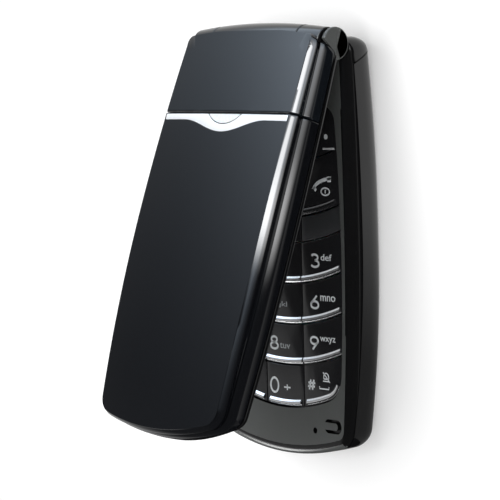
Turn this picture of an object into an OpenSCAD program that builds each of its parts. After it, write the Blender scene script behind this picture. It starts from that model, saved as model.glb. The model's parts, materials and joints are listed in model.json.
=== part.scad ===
// Folding mobile phone lying on its back, lid resting part open.
// X is the width, +Y points at the hinge, +Z leaves the keypad face.

/* [Body] */
// Width across the lid and the base
body_w = 44; // [42:0.5:48]
// Thickness of the base from its back to the keypad face
base_t = 9; // [9:0.1:10]
// Height of the closed lid's outer face above the back
lid_top = 17.6; // [17.4:0.1:19]
// Wall of the outer shells
wall = 1.1; // [0.9:0.1:1.3]

/* [Hinge] */
// Angle of the lid above closed in the drawn pose
lid_open = 19.4; // [5:0.1:120]
// Radius of the hinge knuckles and barrel
barrel_r = 3.5; // [3.3:0.05:3.6]
// Length of each hinge knuckle
knuckle_len = 6.4; // [5:0.1:6.6]

/* [Keypad] */
// Spacing of the number rows
row_pitch = 8.4; // [8:0.1:8.6]
// Gap between neighbouring keys
key_gap = 0.35; // [0.3:0.01:0.45]
// Radius of the round navigation ring
nav_r = 8.4; // [7.5:0.1:8.6]
// Height of a key's body under the keypad face
key_drop = 0.4; // [0.3:0.05:0.6]

/* [Battery] */
// Battery width
battery_w = 33; // [28:0.5:33]
// Battery length
battery_l = 37.5; // [32:0.5:37.5]

/* [Hidden] */
$fn = 96;
fine = 360;
e = 0.02;

// long gentle curves are drawn as a run of short chords
bow_steps = [-50:5:50];
function bow(t, r) = t * t / (2 * r);

// outline of the two halves, seen from the keypad side
half_w = body_w / 2;
end_y = -43.5;
base_end_y = -45.2;
top_y = 41.6;
lid_end_y = 41.2;
side_sag_foot = 2.1;
side_sag_top = 0.9;
side_r_foot = 43.5 * 43.5 / (2 * side_sag_foot);
side_r_top = 43.5 * 43.5 / (2 * side_sag_top);
foot_r = 66;
head_r = 160;
foot_corner = 5;
base_foot_corner = 4;
head_corner = 3;

// hinge line
hinge_y = 39.5;
hinge_z = 12;
sweep_r = barrel_r + 1.25;
lid_gap = 0.35;
lid_z = base_t + lid_gap;
lid_t = lid_top - lid_z;
cover_z = lid_z + 1.3;
knuckle_out = 20;
knuckle_in = knuckle_out - knuckle_len;
knuckle_mid = (knuckle_in + knuckle_out) / 2;
barrel_half = knuckle_in - 0.3;
ear_in = knuckle_out + 0.3;
ear_out = ear_in + 0.9;
ear_r = 3.35;
ear_drop = 1.06;
seam_y = 23;
seam_gap = 0.2;
trim_t = 0.6;
display_y = 1;
lid_screw_places = [[-15.9, -37.2], [15.9, -37.2]];

// base parting line, rising towards both ends
part_z = 5.4;
part_r = 444;
back_crown_r = 520;
back_dip = 0.12;
cover_t = 0.9;
face_crown_r = 599;
face_cross_r = 560;
face_rise = 0.35;

// shell screws: place and height of each head
boss_places = [[-17.2, 31.8, 1.5], [17.2, 31.8, 1.5], [-16.4, -38, 2.6], [16.4, -38, 2.6]];

// keypad field
pad_half = 19;
pad_top = 27.2;
pad_foot = -35.7;
pad_side_r = 330;
pad_foot_r = 45;
row_r = 54;
number_top = -1.6;
strip_top = 3.7;
function_top = 15;
col_x = 6;
nav_y = 14.4;
nav_hole_r = 4.3;
key_top_z = base_t - key_drop;
key_foot_z = 6.95;
lip_w = 0.95;

// ---------- plain helpers ----------

// box from its low corner and its high corner
module span(a, b) translate(a) cube(b - a);

// pin lying along X
module xpin(x0, x1, y, z, r) translate([x0, y, z]) rotate([0, 90, 0]) cylinder(r = r, h = x1 - x0);

// rectangle with round corners, centred on the origin
module rounded(w, l, r) {
  square([w - 2 * r, l], center = true);
  square([w, l - 2 * r], center = true);
  for (x = [-1, 1], y = [-1, 1]) translate([x * (w / 2 - r), y * (l / 2 - r)]) circle(r);
}

// the drawn pose of everything on the lid
module on_lid() translate([0, hinge_y, hinge_z]) rotate([-lid_open, 0, 0])
  translate([0, -hinge_y, -hinge_z]) children();

// crossing of two circles, on the left of the line from a to b
function meet(a, ra, b, rb, side) = let (d = norm(b - a), t = (ra * ra - rb * rb + d * d) / (2 * d),
  h = sqrt(ra * ra - t * t), u = (b - a) / d) a + u * t + side * [-u[1], u[0]] * h;

// ---------- outline of base and lid ----------

// half width at y of an outline w wide at its middle
function side_x(y, w) = w - bow(y, y < 0 ? side_r_foot : side_r_top);

// centre of the corner arc that touches the side arc and the end arc
function corner_at(top, w, cr, foot) = top
  ? meet([w - side_r_top, 0], side_r_top - cr, [0, w - half_w + top_y - head_r], head_r - cr, 1)
  : meet([w - side_r_foot, 0], side_r_foot - cr, [0, half_w - w + foot + foot_r], foot_r - cr, -1);

// wedge outside a corner arc, cut off the outline
module corner_cut(top, w, cr, foot) {
  c = corner_at(top, w, cr, foot);
  side_c = top ? [w - side_r_top, 0] : [w - side_r_foot, 0];
  end_c = top ? [0, w - half_w + top_y - head_r] : [0, half_w - w + foot + foot_r];
  a = (c - side_c) / norm(c - side_c);
  b = (c - end_c) / norm(c - end_c);
  difference() {
    polygon([c, c + a * 9, c + (a + b) * 9, c + b * 9]);
    translate(c) circle(cr + e);
  }
}

// plan outline; d draws it in from the full width, foot is its end's y
module outline(d = 0, foot = end_y, corner = foot_corner) {
  w = half_w - d;
  difference() {
    intersection() {
      polygon(concat([for (y = bow_steps) [side_x(y, w), y]],
        [for (y = bow_steps) [-side_x(-y, w), -y]]));
      translate([0, foot + d + foot_r]) circle(foot_r, $fn = fine);
      translate([0, top_y - d - head_r]) circle(head_r, $fn = fine);
    }
    for (m = [0, 1]) mirror([m, 0]) {
      corner_cut(false, w, corner - d, foot);
      corner_cut(true, w, head_corner - min(d, 1.5), foot);
    }
  }
}

// ---------- base volume ----------

// height of the bowed back
function back_z(y) = bow(y, back_crown_r) - back_dip;

// section across the base, both sides bulging to the parting line
module base_section(d) {
  w = half_w - d;
  r = 6;
  difference() {
    translate([-w, d]) square([2 * w, base_t - 2 * d]);
    for (s = [-1, 1]) {
      translate([s * (w - r), part_z]) difference() {
        translate([s > 0 ? 0 : -9, 0]) square([9, 6]);
        circle(r + e);
      }
      translate([s * (w - 2.1), 2.1 + d]) difference() {
        translate([s > 0 ? 0 : -3, -3]) square(3);
        circle(2.1 + e);
      }
    }
  }
}

// side view of the base: crowned back, round foot, head cut away under the lid's sweep
module base_profile(d) difference() {
  intersection() {
    translate([base_end_y - 1, d]) square([top_y - base_end_y + 2, base_t - 2 * d]);
    polygon(concat([for (y = bow_steps) [y, back_z(y) + d]], [[50, 20], [-50, 20]]));
  }
  translate([base_end_y + 4.2 + d, 5.2]) difference() {
    translate([-6, -6]) square(6);
    circle(4.2 + e);
  }
  translate([base_end_y + 1.4 + d, base_t - d - 1.4]) difference() {
    translate([-2, 0]) square(2);
    circle(1.4 + e);
  }
  translate([top_y - 3.2 - d, 4.3]) difference() {
    translate([0, -5]) square(5);
    circle(3.2 + e);
  }
  translate([hinge_y, hinge_z]) circle(sweep_r + d);
  polygon([[hinge_y, 9.5], [hinge_y - 1.2, 7.5 - d], [top_y + 1, 6.3 - d], [top_y + 1, 9.5]]);
}

module base_solid(d = 0) intersection() {
  linear_extrude(base_t + 1) outline(d, base_end_y, base_foot_corner);
  translate([0, 50, 0]) rotate([90, 0, 0]) linear_extrude(100) base_section(d);
  translate([-30, 0, 0]) rotate([90, 0, 90]) linear_extrude(60) base_profile(d);
}

// the bowed back raised by t, as a cutter for thin layers on it
module back_bow(t) translate([-30, 0, 0]) rotate([90, 0, 90]) linear_extrude(60)
  polygon(concat([for (y = bow_steps) [y, back_z(y) + t]], [[50, 20], [-50, 20]]));

// everything above the base's parting line, and the whole head end
module above_parting(gap) {
  translate([-30, 0, part_z + gap + part_r]) rotate([0, 90, 0]) cylinder(r = part_r, h = 60, $fn = fine);
  translate([-30, 0, 0]) rotate([90, 0, 90]) linear_extrude(60)
    polygon([[35 + gap, 6.6], [39.3 + gap, -1], [60, -1], [60, 12], [35 + gap, 12]]);
}

// ---------- keypad field ----------

module pad_field(d = 0) {
  w = pad_half - d;
  difference() {
    intersection() {
      translate([w - pad_side_r, -5]) circle(pad_side_r, $fn = fine);
      translate([pad_side_r - w, -5]) circle(pad_side_r, $fn = fine);
      translate([0, pad_foot + d + pad_foot_r]) circle(pad_foot_r, $fn = fine);
      translate([0, pad_top - d - head_r]) circle(head_r, $fn = fine);
    }
    for (s = [-1, 1]) {
      pad_corner(s, meet([w - pad_side_r, -5], pad_side_r - 6, [0, pad_foot + d + pad_foot_r],
        pad_foot_r - 6, -1), 6, -1);
      pad_corner(s, meet([w - pad_side_r, -5], pad_side_r - 3.5, [0, pad_top - d - head_r],
        head_r - 3.5, 1), 3.5, 1);
    }
  }
}

module pad_corner(s, c, r, up) translate([s * c[0], c[1]]) difference() {
  polygon([[0, 0], [s * 12, -up * 0.6], [s * 12, up * 12], [s * up * -1.2, up * 12]]);
  circle(r + e);
}

// area under one curved row line
module below_row(y) difference() {
  translate([-30, -60]) square([60, 60 + y + 8]);
  translate([0, y + row_r]) circle(row_r, $fn = fine);
}

// band between two row lines, less half a gap each
module row_band(y0, y1) difference() {
  below_row(y1 - key_gap / 2);
  below_row(y0 + key_gap / 2);
}

// column -1, 0 or 1
module column(c) {
  x0 = c < 0 ? -30 : c == 0 ? -col_x + key_gap / 2 : col_x + key_gap / 2;
  x1 = c < 0 ? -col_x - key_gap / 2 : c == 0 ? col_x - key_gap / 2 : 30;
  translate([x0, -60]) square([x1 - x0, 120]);
}

function row_foot(n) = number_top - n * row_pitch;

// outline of number key in row 1 to 4 and column -1 to 1
module number_area(row, c) intersection() {
  pad_field(0.3);
  if (row < 4) row_band(row_foot(row), row_foot(row - 1));
  if (row == 4) row_band(-60, row_foot(3));
  column(c);
}

// strip along the lower edge of a number key, where its bright lip stands
module number_lip(row, c) intersection() {
  number_area(row, c);
  if (row < 4) row_band(row_foot(row) - key_gap, row_foot(row) + key_gap / 2 + lip_w);
  if (row == 4) difference() {
    pad_field(0.2);
    pad_field(0.3 + lip_w);
  }
  if (row == 4) translate([-15.5, -60]) square([31, 60 + row_foot(4) + 3.4]);
}

module number_key(row, c) {
  color("#1b1b1d") translate([0, 0, key_foot_z]) linear_extrude(key_top_z - key_foot_z)
    number_area(row, c);
  color("silver") translate([0, 0, key_top_z]) linear_extrude(key_drop - 0.05) number_lip(row, c);
}

// keys beside the navigation ring: the area less the ring's hole
module function_area(c, y0, y1) difference() {
  intersection() {
    pad_field(0.3);
    row_band(y0, y1);
    translate([c > 0 ? key_gap / 2 : -30, -60]) square([30 - key_gap / 2, 120]);
  }
  translate([0, nav_y]) circle(nav_r + key_gap);
  translate([-col_x - key_gap / 2, -60]) square([2 * col_x + key_gap, 60 + 9]);
}

module flat_key(h = 0) color("#1b1b1d") translate([0, 0, key_foot_z])
  linear_extrude(key_top_z + h - key_foot_z) children();

// bright lip along the foot of a function key
module function_lip(c, y0, x0, x1) color("silver") translate([0, 0, key_top_z])
  linear_extrude(key_drop - 0.05) intersection() {
    function_area(c, y0, 60);
    row_band(y0 - key_gap, y0 + key_gap / 2 + 0.8);
    translate([min(c * x0, c * x1), -60]) square([x1 - x0, 120]);
  }

module send_key() {
  flat_key() function_area(-1, strip_top, function_top);
  function_lip(-1, strip_top, 7, 17.2);
}

module end_key() {
  flat_key() function_area(1, strip_top, function_top);
  function_lip(1, strip_top, 7, 17.2);
}

module soft_key_left() {
  flat_key() function_area(-1, function_top, 60);
  function_lip(-1, function_top, 10.5, 17.4);
}

module soft_key_right() {
  flat_key() function_area(1, function_top, 60);
  function_lip(1, function_top, 10.5, 17.4);
}

module nav_ring() color("#1b1b1d") translate([0, nav_y, key_foot_z]) difference() {
  union() {
    cylinder(r = nav_r, h = 1.5);
    cylinder(r = nav_r - 0.5, h = 1.95);
  }
  translate([0, 0, -1]) cylinder(r = nav_hole_r, h = 4);
}

module nav_centre_key() color("silver") translate([0, nav_y, key_foot_z]) {
  cylinder(r = nav_hole_r - 0.3, h = 1.5);
  cylinder(r = nav_hole_r - 0.7, h = 1.8);
}

module clear_key() flat_key() difference() {
  intersection() {
    row_band(number_top, 8);
    translate([-col_x + key_gap / 2, -60]) square([2 * col_x - key_gap, 120]);
  }
  translate([0, nav_y]) circle(nav_r + key_gap);
}

module key_1() number_key(1, -1);
module key_2() number_key(1, 0);
module key_3() number_key(1, 1);
module key_4() number_key(2, -1);
module key_5() number_key(2, 0);
module key_6() number_key(2, 1);
module key_7() number_key(3, -1);
module key_8() number_key(3, 0);
module key_9() number_key(3, 1);
module key_star() number_key(4, -1);
module key_0() number_key(4, 0);
module key_hash() number_key(4, 1);

// fixed strips between the number keys and the function keys
module keypad_dividers() color("#3a3b3d") for (c = [-1, 1]) {
  translate([0, 0, key_foot_z - 0.3]) linear_extrude(key_top_z - key_foot_z + 0.15) intersection() {
    pad_field(0.3);
    row_band(number_top, strip_top);
    column(c);
  }
  // ledge that the shell holds
  translate([0, 0, key_foot_z - 0.3]) linear_extrude(0.5) intersection() {
    row_band(number_top + 0.3, strip_top - 0.3);
    translate([c > 0 ? 17 : -19.7, -60]) square([2.7, 120]);
  }
}

// silicone web: a thin sheet with one plunger under each key
module keypad_mat() color("#b9bcbc") {
  difference() {
    translate([0, 0, 6.1]) linear_extrude(0.45) pad_field(0.9);
    for (c = [-1, 1]) span([c * 17.6 - 2, -1.6, 6], [c * 17.6 + 2, 4.4, 7]);
  }
}

module dome_sheet() color("gainsboro") {
  translate([0, 0, 5.85]) linear_extrude(0.12) pad_field(1.5);
}

// ---------- base shells ----------

module front_shell() color("#161617") {
  difference() {
    intersection() {
      base_solid();
      above_parting(0.06);
    }
    // hollow under the face plate, open downwards
    difference() {
      intersection() {
        base_solid(wall);
        span([-30, -60, -1], [30, 34.2, base_t - wall]);
      }
      for (p = boss_places) translate([p[0], p[1], 0]) cylinder(r = 1.7, h = 9);
    }
    // seat for the board behind the hollow
    translate([0, 0, 5.2]) linear_extrude(0.95) board_plan(0.2);
    // keypad opening
    translate([0, 0, 5]) linear_extrude(6) pad_field();
    // ledges of the fixed strips
    for (s = [-1, 1]) span([s * 18.35 - 1.55, -1.1, 6.5], [s * 18.35 + 1.55, 5.6, 7.25]);
    for (p = boss_places) translate([p[0], p[1], 2]) cylinder(r = 0.75, h = 5.2);
    // microphone port
    translate([9.6, -39.7, 5]) cylinder(r = 0.6, h = 6);
    // groove round the strap post, open to the left
    strap_groove();
    head_space();
    speaker_holes();
    side_ports();
    hall_pocket();
  }
  knuckles();
}

module strap_groove() translate([15.2, -38.45, base_t - 0.9]) linear_extrude(2) difference() {
  intersection() {
    rounded(5.2, 2.9, 1.3);
    translate([-2.6, -2]) square([6, 4]);
  }
  translate([-0.9, 0]) rounded(4.7, 1.5, 0.7);
}

// the two hinge knuckles and their necks
module knuckles() for (s = [-1, 1]) difference() {
  union() {
    translate([s * knuckle_mid - knuckle_len / 2, 0, 0]) xpin(0, knuckle_len, hinge_y, hinge_z, barrel_r);
    span([s * knuckle_mid - knuckle_len / 2, 36.3, 7], [s * knuckle_mid + knuckle_len / 2, 39.1, base_t]);
  }
  if (s > 0) xpin(knuckle_in - 1, knuckle_out - 0.8, hinge_y, hinge_z, 2.35);
  if (s < 0) xpin(-knuckle_out + 0.8, -knuckle_in + 1, hinge_y, hinge_z, 1.75);
}

module rear_shell() color("#1d1d1f") difference() {
  difference() {
    base_solid();
    above_parting(0);
  }
  // battery cover's recess, open at the foot
  difference() {
    span([-17.65, -60, -1], [17.65, 29.15, 5]);
    back_bow(cover_t + 0.2);
  }
  // battery bay and card bay, open to the back
  span([-16.9, 9.3 - battery_l, -1], [16.9, 10, 4.6]);
  span([-13.6, 11.9, -1], [13.6, 28.5, 4.6]);
  head_space();
  speaker_holes();
  // board space above the bay floors
  difference() {
    intersection() {
      base_solid(wall);
      span([-30, -60, 5.1], [30, 60, 9]);
    }
    for (p = boss_places) translate([p[0], p[1], 0]) cylinder(r = 1.7, h = 9);
  }
  for (p = boss_places) {
    translate([p[0], p[1], -1]) cylinder(r = 0.95, h = 9);
    translate([p[0], p[1], -1]) cylinder(r = 1.65, h = p[2] + 1.95);
  }
  // contact window from the battery bay to the board
  span([-5.3, 7.6, 3], [5.3, 11, 6]);
  side_ports();
}

// connector mouth and volume key slot through the left wall
module side_ports() {
  span([-30, -3.9, 2.6], [-17.7, 7.9, 5.35]);
  span([-30, 14.9, 3.1], [-18.6, 29.1, 6.1]);
}

// room for the radio cans, the loudspeaker and the antenna under the board
module head_space() span([-15.3, 29.7, 1.9], [16.3, 40, 5.4]);

module speaker_holes() for (i = [0:6]) {
  a = i * 60;
  r = i == 0 ? 0 : 2.4;
  translate([-8.5 + r * cos(a), 35.4 + r * sin(a) * 0.8, -1]) cylinder(r = 0.5, h = 3, $fn = 24);
}

module battery_cover() color("#1a1a1c") {
  difference() {
    intersection() {
      base_solid();
      span([-17.5, -60, -1], [17.5, 29, 5]);
    }
    back_bow(cover_t);
    // thumb grooves
    for (i = [0:3]) span([-5, 20 + i * 1.6, -1], [5, 20.7 + i * 1.6, 0.25 + 0.035 * i]);
  }
}

module battery() {
  color("#3c3f44") difference() {
    span([-battery_w / 2, 9.7 - battery_l, 1.7], [battery_w / 2, 9.7, 4.4]);
    for (i = [-1, 0, 1]) span([i * 3 - 0.9, 8.7, 3.6], [i * 3 + 0.9, 10, 5]);
  }
  color("gold") for (i = [-1, 0, 1]) span([i * 3 - 0.9, 8.7, 3.6], [i * 3 + 0.9, 9.0, 4.35]);
}

module battery_contacts() {
  color("#202024") difference() {
    span([-5, 10.1, 3.2], [5, 11.0, 5.2]);
    for (i = [-1, 0, 1]) span([i * 3 - 0.5, 10, 3.5], [i * 3 + 0.5, 10.6, 4.3]);
  }
  color("gold") for (i = [-1, 0, 1]) span([i * 3 - 0.35, 9.35, 3.7], [i * 3 + 0.35, 10.7, 4.1]);
}

// ---------- electronics in the base ----------

// the board's outline, grown by d
module board_plan(d = 0) difference() {
  translate([0, -3.2]) rounded(37 + 2 * d, 71 + 2 * d, 5);
  for (p = boss_places) translate([p[0], p[1]]) circle(2.1 - d);
}

module main_board() color("#155a34") translate([0, 0, 5.25]) linear_extrude(0.55) board_plan();

module shield_cans() color("lightgray") {
  span([-12.5, 30, 2.6], [-1, 32.6, 5.2]);
  span([1.5, 30, 2.6], [12.5, 32.6, 5.2]);
}

module antenna() color("khaki") {
  difference() {
    span([-1.2, 33.4, 2], [15.8, 39.4, 5.1]);
    span([0.2, 34.4, 1], [14.4, 38.6, 4.2]);
  }
}

module loudspeaker() {
  color("#2b2b2e") translate([-8.5, 36.2, 2.25]) cylinder(r = 2.9, h = 2.8);
  color("silver") translate([-8.5, 36.2, 2]) cylinder(r = 2.2, h = 0.26);
}

module microphone() color("silver") translate([9.6, -39.7, 6.1]) cylinder(r = 1.6, h = 1.5);

module backup_cell() color("silver") translate([-12, -37.1, 6.15]) cylinder(r = 1.7, h = 1.1);

module hall_pocket() span([-17.9, -36.2, 6.4], [-15.4, -33.4, 8.2]);

module hall_sensor() color("#202020") span([-17.6, -35.9, 6.6], [-15.7, -33.7, 7.9]);

module sim_holder() color("silver") difference() {
  span([-13.3, 12.2, 3.3], [13.3, 28.2, 4.5]);
  span([-12.7, 11.8, 3.0], [12.7, 27.6, 4.35]);
  span([-9, 14.5, 3.0], [9, 24.5, 6]);
  span([-11.4, 10.5, 2], [11.4, 13.5, 6]);
}

module sim_card() color("white") difference() {
  span([-12.5, 12.4, 3.45], [12.5, 27.4, 4.2]);
  translate([12.5, 12.4, 3]) rotate(45) cube([4, 4, 4], center = true);
}

module side_connector() {
  color("silver") difference() {
    span([-20.6, -3.6, 2.9], [-17.9, 7.6, 5.1]);
    span([-21, -3.0, 3.3], [-18.5, 7.0, 4.7]);
  }
  color("#202022") span([-20.0, -2.6, 3.75], [-18.4, 6.6, 4.2]);
}

module connector_flap() color("#202022") {
  intersection() {
    base_solid(0.02);
    span([-30, -3.6, 2.9], [-21, 7.3, 5.05]);
  }
  // round end that it turns about
  translate([-21.5, 7.3, 2.9]) cylinder(r = 0.4, h = 2.15);
}

module volume_key() color("#2a2a2c") {
  intersection() {
    union() {
      base_solid(-0.35);
      span([-23, 14, 3], [-22.2, 30, 6]);
    }
    span([-22.3, 15.25, 3.45], [-20.4, 28.75, 5.75]);
  }
  // round stem that it rocks about
  translate([-20.3, 22, 3.9]) cylinder(r = 0.9, h = 1.25);
}

module shell_screws() color("silver") for (p = boss_places) translate(p) difference() {
  union() {
    cylinder(r = 1.45, h = 0.9);
    translate([0, 0, 0.9]) cylinder(r = 0.74, h = 3.6);
  }
  translate([0, 0, -0.2]) cylinder(r = 0.6, h = 0.7, $fn = 6);
}

// ---------- hinge ----------

// sprung cam cartridge: its can is fixed in the right knuckle, its blade reaches the lid's barrel
module hinge_cartridge() color("silver") {
  xpin(knuckle_in + 0.1, knuckle_out - 0.9, hinge_y, hinge_z, 2.3);
  xpin(5.2, knuckle_in + 0.2, hinge_y, hinge_z, 1.4);
}

// hollow bush in the left knuckle, where the flexible circuit passes
module hinge_bush() color("silver") difference() {
  union() {
    xpin(-knuckle_out + 0.9, -knuckle_in - 0.1, hinge_y, hinge_z, 1.7);
    xpin(-knuckle_in - 0.2, -8, hinge_y, hinge_z, 1.4);
  }
  xpin(-knuckle_out + 0.8, -7, hinge_y, hinge_z, 0.9);
}

// ---------- lid ----------

// section across the lid
module lid_section(d) {
  w = half_w - d;
  r = 2.3;
  difference() {
    intersection() {
      translate([-w, lid_z - 1]) square([2 * w, lid_top - lid_z + 2 - d]);
      polygon(concat([[-25, 0], [25, 0]],
        [for (x = [25:-5:-25]) [x, lid_top + face_rise - d - bow(x, face_cross_r)]]));
    }
    for (s = [-1, 1]) translate([s * (w - r), lid_top - r - d]) difference() {
      translate([s > 0 ? 0 : -4, 0]) square(4);
      circle(r + e);
    }
  }
}

// head end of the lid at a height: it slants back towards the inside, round the hinge
function lid_head(z) = lid_end_y - (z < 17.5 ? (17.5 - z) * 0.525 : 0);

// side view of the lid: crowned face, round foot and slanted head end
module lid_profile(d) difference() {
  intersection() {
    polygon([[end_y - 1, lid_z - 1], [lid_head(lid_z - 1) - d, lid_z - 1],
      [lid_end_y - d, 17.5], [lid_end_y - d, lid_top + 3], [end_y - 1, lid_top + 3]]);
    polygon(concat([[-50, 0], [50, 0]],
      [for (y = bow_steps) [-y, lid_top + face_rise - d - bow(y, face_crown_r)]]));
  }
  translate([end_y + 2.4 + d, 13.9 - d]) difference() {
    translate([-4, 0]) square(4);
    circle(2.4 + e);
  }
}

module lid_solid(d = 0) intersection() {
  linear_extrude(30) outline(d);
  translate([0, 50, 0]) rotate([90, 0, 0]) linear_extrude(100) lid_section(d);
  translate([-30, 0, 0]) rotate([90, 0, 90]) linear_extrude(60) lid_profile(d);
}

// hinge space in the lid, round the knuckles and the barrel
module hinge_space(gap) {
  xpin(-knuckle_out - 0.3, knuckle_out + 0.3, hinge_y, hinge_z, barrel_r + gap);
  span([-knuckle_out - 0.3, hinge_y, 5], [knuckle_out + 0.3, 60, hinge_z]);
  span([-30, 38.6, 5], [30, 60, hinge_z]);
}

// ears on the inner frame that cap the knuckles, beyond the covers' slanted ends
module hinge_ears() for (s = [-1, 1]) intersection() {
  translate([s * (ear_in + ear_out) / 2 - (ear_out - ear_in) / 2, 0, 0])
    xpin(0, ear_out - ear_in, hinge_y, hinge_z - ear_drop, ear_r);
  union() {
    span([-30, 30, 5], [30, 50, cover_z - 0.08]);
    translate([-30, 0, 0]) rotate([90, 0, 90]) linear_extrude(60)
      polygon([[lid_head(5) + 0.15, 5], [lid_head(17.5) + 0.15, 17.5], [50, 17.5], [50, 5]]);
  }
}

// outer covers: the thin shell above the inner frame, with the styling groove round it
module lid_cover(y0, y1) difference() {
  intersection() {
    lid_solid();
    span([-30, y0, cover_z], [30, y1, 30]);
  }
  intersection() {
    lid_solid(wall);
    span([-30, -60, 5], [30, 35.4, 30]);
  }
  hinge_space(0.2);
  // groove between the rolled edge and the side
  difference() {
    span([-30, -60, 15.1], [30, 60, 15.45]);
    linear_extrude(30) outline(0.35);
  }
}

module lid_lower_cover() color("#141416") on_lid() {
  difference() {
    lid_cover(-60, seam_y - seam_gap / 2);
    intersection() {
      trim_layer(-0.2, trim_t + 0.05);
      linear_extrude(30) trim_plan(0.08);
    }
  }
  // screw posts
  for (p = lid_screw_places) translate([p[0], p[1], cover_z]) difference() {
    cylinder(r = 1.5, h = 5.5);
    translate([0, 0, -1]) cylinder(r = 0.71, h = 4.4);
  }
}

module lid_upper_cover() color("#15161a") on_lid() difference() {
  lid_cover(seam_y + seam_gap / 2, 60);
  span([-barrel_half - 0.15, 34.7, 5], [barrel_half + 0.15, 38.3, 14.35]);
}

// lower edge of the bright wave under the seam
function wave(x) = abs(x) < 13 ? 21.5 - 2.5 * pow(cos(90 * x / 13), 2) : 21.5;

module trim_plan(d = 0) polygon(concat(
  [[20.3 + d, seam_y + 1], [-20.3 - d, seam_y + 1], [-20.3 - d, wave(20) - d]],
  [for (x = [-13:1:13]) [x, wave(x) - d]],
  [[20.3 + d, wave(20) - d]]));

module lens_plan(d = 0) translate([0, seam_y - 0.5]) intersection() {
  translate([0, 5.9]) circle(7.7 + d);
  translate([-6, -6]) square([12, 6]);
}

module trim_layer(d0, d1) difference() {
  lid_solid(d0);
  lid_solid(d1);
}

module lid_trim() color("silver") on_lid() intersection() {
  trim_layer(0, trim_t);
  linear_extrude(30) difference() {
    trim_plan();
    lens_plan(0.08);
    translate([-30, seam_y - seam_gap / 2]) square([60, 5]);
  }
}

module signal_lens() color("#dfe4ea") on_lid() intersection() {
  trim_layer(0, trim_t);
  linear_extrude(30) lens_plan();
}

module lid_inner_frame() color("#121213") on_lid() {
  difference() {
    intersection() {
      lid_solid(0.15);
      span([-30, -60, lid_z], [30, 60, cover_z - 0.08]);
    }
    hinge_space(0.25);
    // window recess and display opening
    translate([0, display_y, lid_z - 1]) linear_extrude(1.85) rounded(36.4, 48.4, 2);
    translate([0, display_y + 1, 5]) linear_extrude(8) rounded(31, 40, 1);
    // earpiece slot
    translate([0, 33, 5]) linear_extrude(8) rounded(8, 1.5, 0.7);
    for (p = lid_screw_places) {
      translate([p[0], p[1], 5]) cylinder(r = 1.6, h = 5);
      translate([p[0], p[1], 5]) cylinder(r = 0.8, h = 8);
    }
    for (s = [-1, 1]) translate([s * 8, -40.3, 8]) cylinder(r = 1.2, h = 1.9);
  }
  // web and barrel between the knuckles
  difference() {
    union() {
      span([-barrel_half, 34.9, cover_z - 0.3], [barrel_half, 38, 14.2]);
      xpin(-barrel_half, barrel_half, hinge_y, hinge_z, barrel_r);
    }
    xpin(4.6, barrel_half + 1, hinge_y, hinge_z, 1.45);
    xpin(-barrel_half - 1, -5, hinge_y, hinge_z, 1.45);
  }
  hinge_ears();
  // rim that keys the covers on
  difference() {
    translate([0, 0, cover_z - 0.4]) linear_extrude(1.6) difference() {
      outline(wall + 0.15);
      outline(wall + 0.95);
    }
    span([-30, 30, 5], [30, 60, 30]);
  }
}

module display_window() color("#20262e") on_lid()
  translate([0, display_y, lid_z + 0.1]) linear_extrude(0.7) rounded(36.2, 48.2, 1.9);

module display_module() on_lid() {
  color("#c9ccd0") span([-15.9, display_y - 19.6, cover_z + 0.05], [15.9, display_y + 21.6, cover_z + 1.5]);
  color("#10141c") span([-14.4, display_y - 16.8, cover_z - 0.4], [14.4, display_y + 19.2, cover_z + 0.05]);
}

module lid_board() color("#155a34") on_lid() difference() {
  span([-17.5, -35.4, cover_z + 1.7], [17.5, 31.5, cover_z + 2.3]);
  span([-9, 28, 5], [9, 60, 30]);
}

module earpiece() on_lid() {
  color("#2b2b2e") span([-6.5, 30.2, cover_z + 0.45], [6.5, 34.2, cover_z + 3]);
  color("silver") span([-5, 31.2, cover_z + 0.25], [5, 33.6, cover_z + 0.45]);
}

module earpiece_mesh() color("#4a4c50") on_lid()
  translate([0, 33, lid_z + 0.5]) linear_extrude(0.35) rounded(7.96, 1.46, 0.68);

module lid_bumpers() color("#2c2c2e") on_lid() for (s = [-1, 1])
  translate([s * 8, -40.3, lid_z - 0.18]) cylinder(r = 1.15, h = 0.7);

module lid_screws() color("silver") on_lid() for (p = lid_screw_places) translate([p[0], p[1], 0])
  difference() {
    union() {
      translate([0, 0, lid_z + 0.1]) cylinder(r = 1.5, h = 0.52);
      translate([0, 0, lid_z + 0.6]) cylinder(r = 0.7, h = 3);
    }
    translate([0, 0, lid_z]) cylinder(r = 0.55, h = 0.5, $fn = 6);
  }

module closing_magnet() color("silver") on_lid()
  span([-17.9, -34.5, cover_z + 0.15], [-16.3, -30.5, cover_z + 1.5]);

module vibration_motor() color("silver") on_lid()
  translate([0, -31.5, cover_z + 2.5]) cylinder(r = 4.5, h = 2);

front_shell();
rear_shell();
battery_cover();
battery();
battery_contacts();
main_board();
shield_cans();
antenna();
loudspeaker();
microphone();
sim_holder();
sim_card();
side_connector();
connector_flap();
volume_key();
shell_screws();
keypad_mat();
dome_sheet();
keypad_dividers();
backup_cell();
hall_sensor();
hinge_cartridge();
hinge_bush();
soft_key_left();
soft_key_right();
nav_ring();
nav_centre_key();
send_key();
end_key();
clear_key();
key_1();
key_2();
key_3();
key_4();
key_5();
key_6();
key_7();
key_8();
key_9();
key_star();
key_0();
key_hash();
lid_inner_frame();
lid_lower_cover();
lid_upper_cover();
lid_trim();
signal_lens();
display_window();
display_module();
lid_board();
earpiece();
earpiece_mesh();
lid_bumpers();
lid_screws();
closing_magnet();
vibration_motor();
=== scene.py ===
"""Looks of a folding mobile phone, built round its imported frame."""

import collections
import json
import math

import bmesh
import bpy
from mathutils import Matrix, Vector


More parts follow.
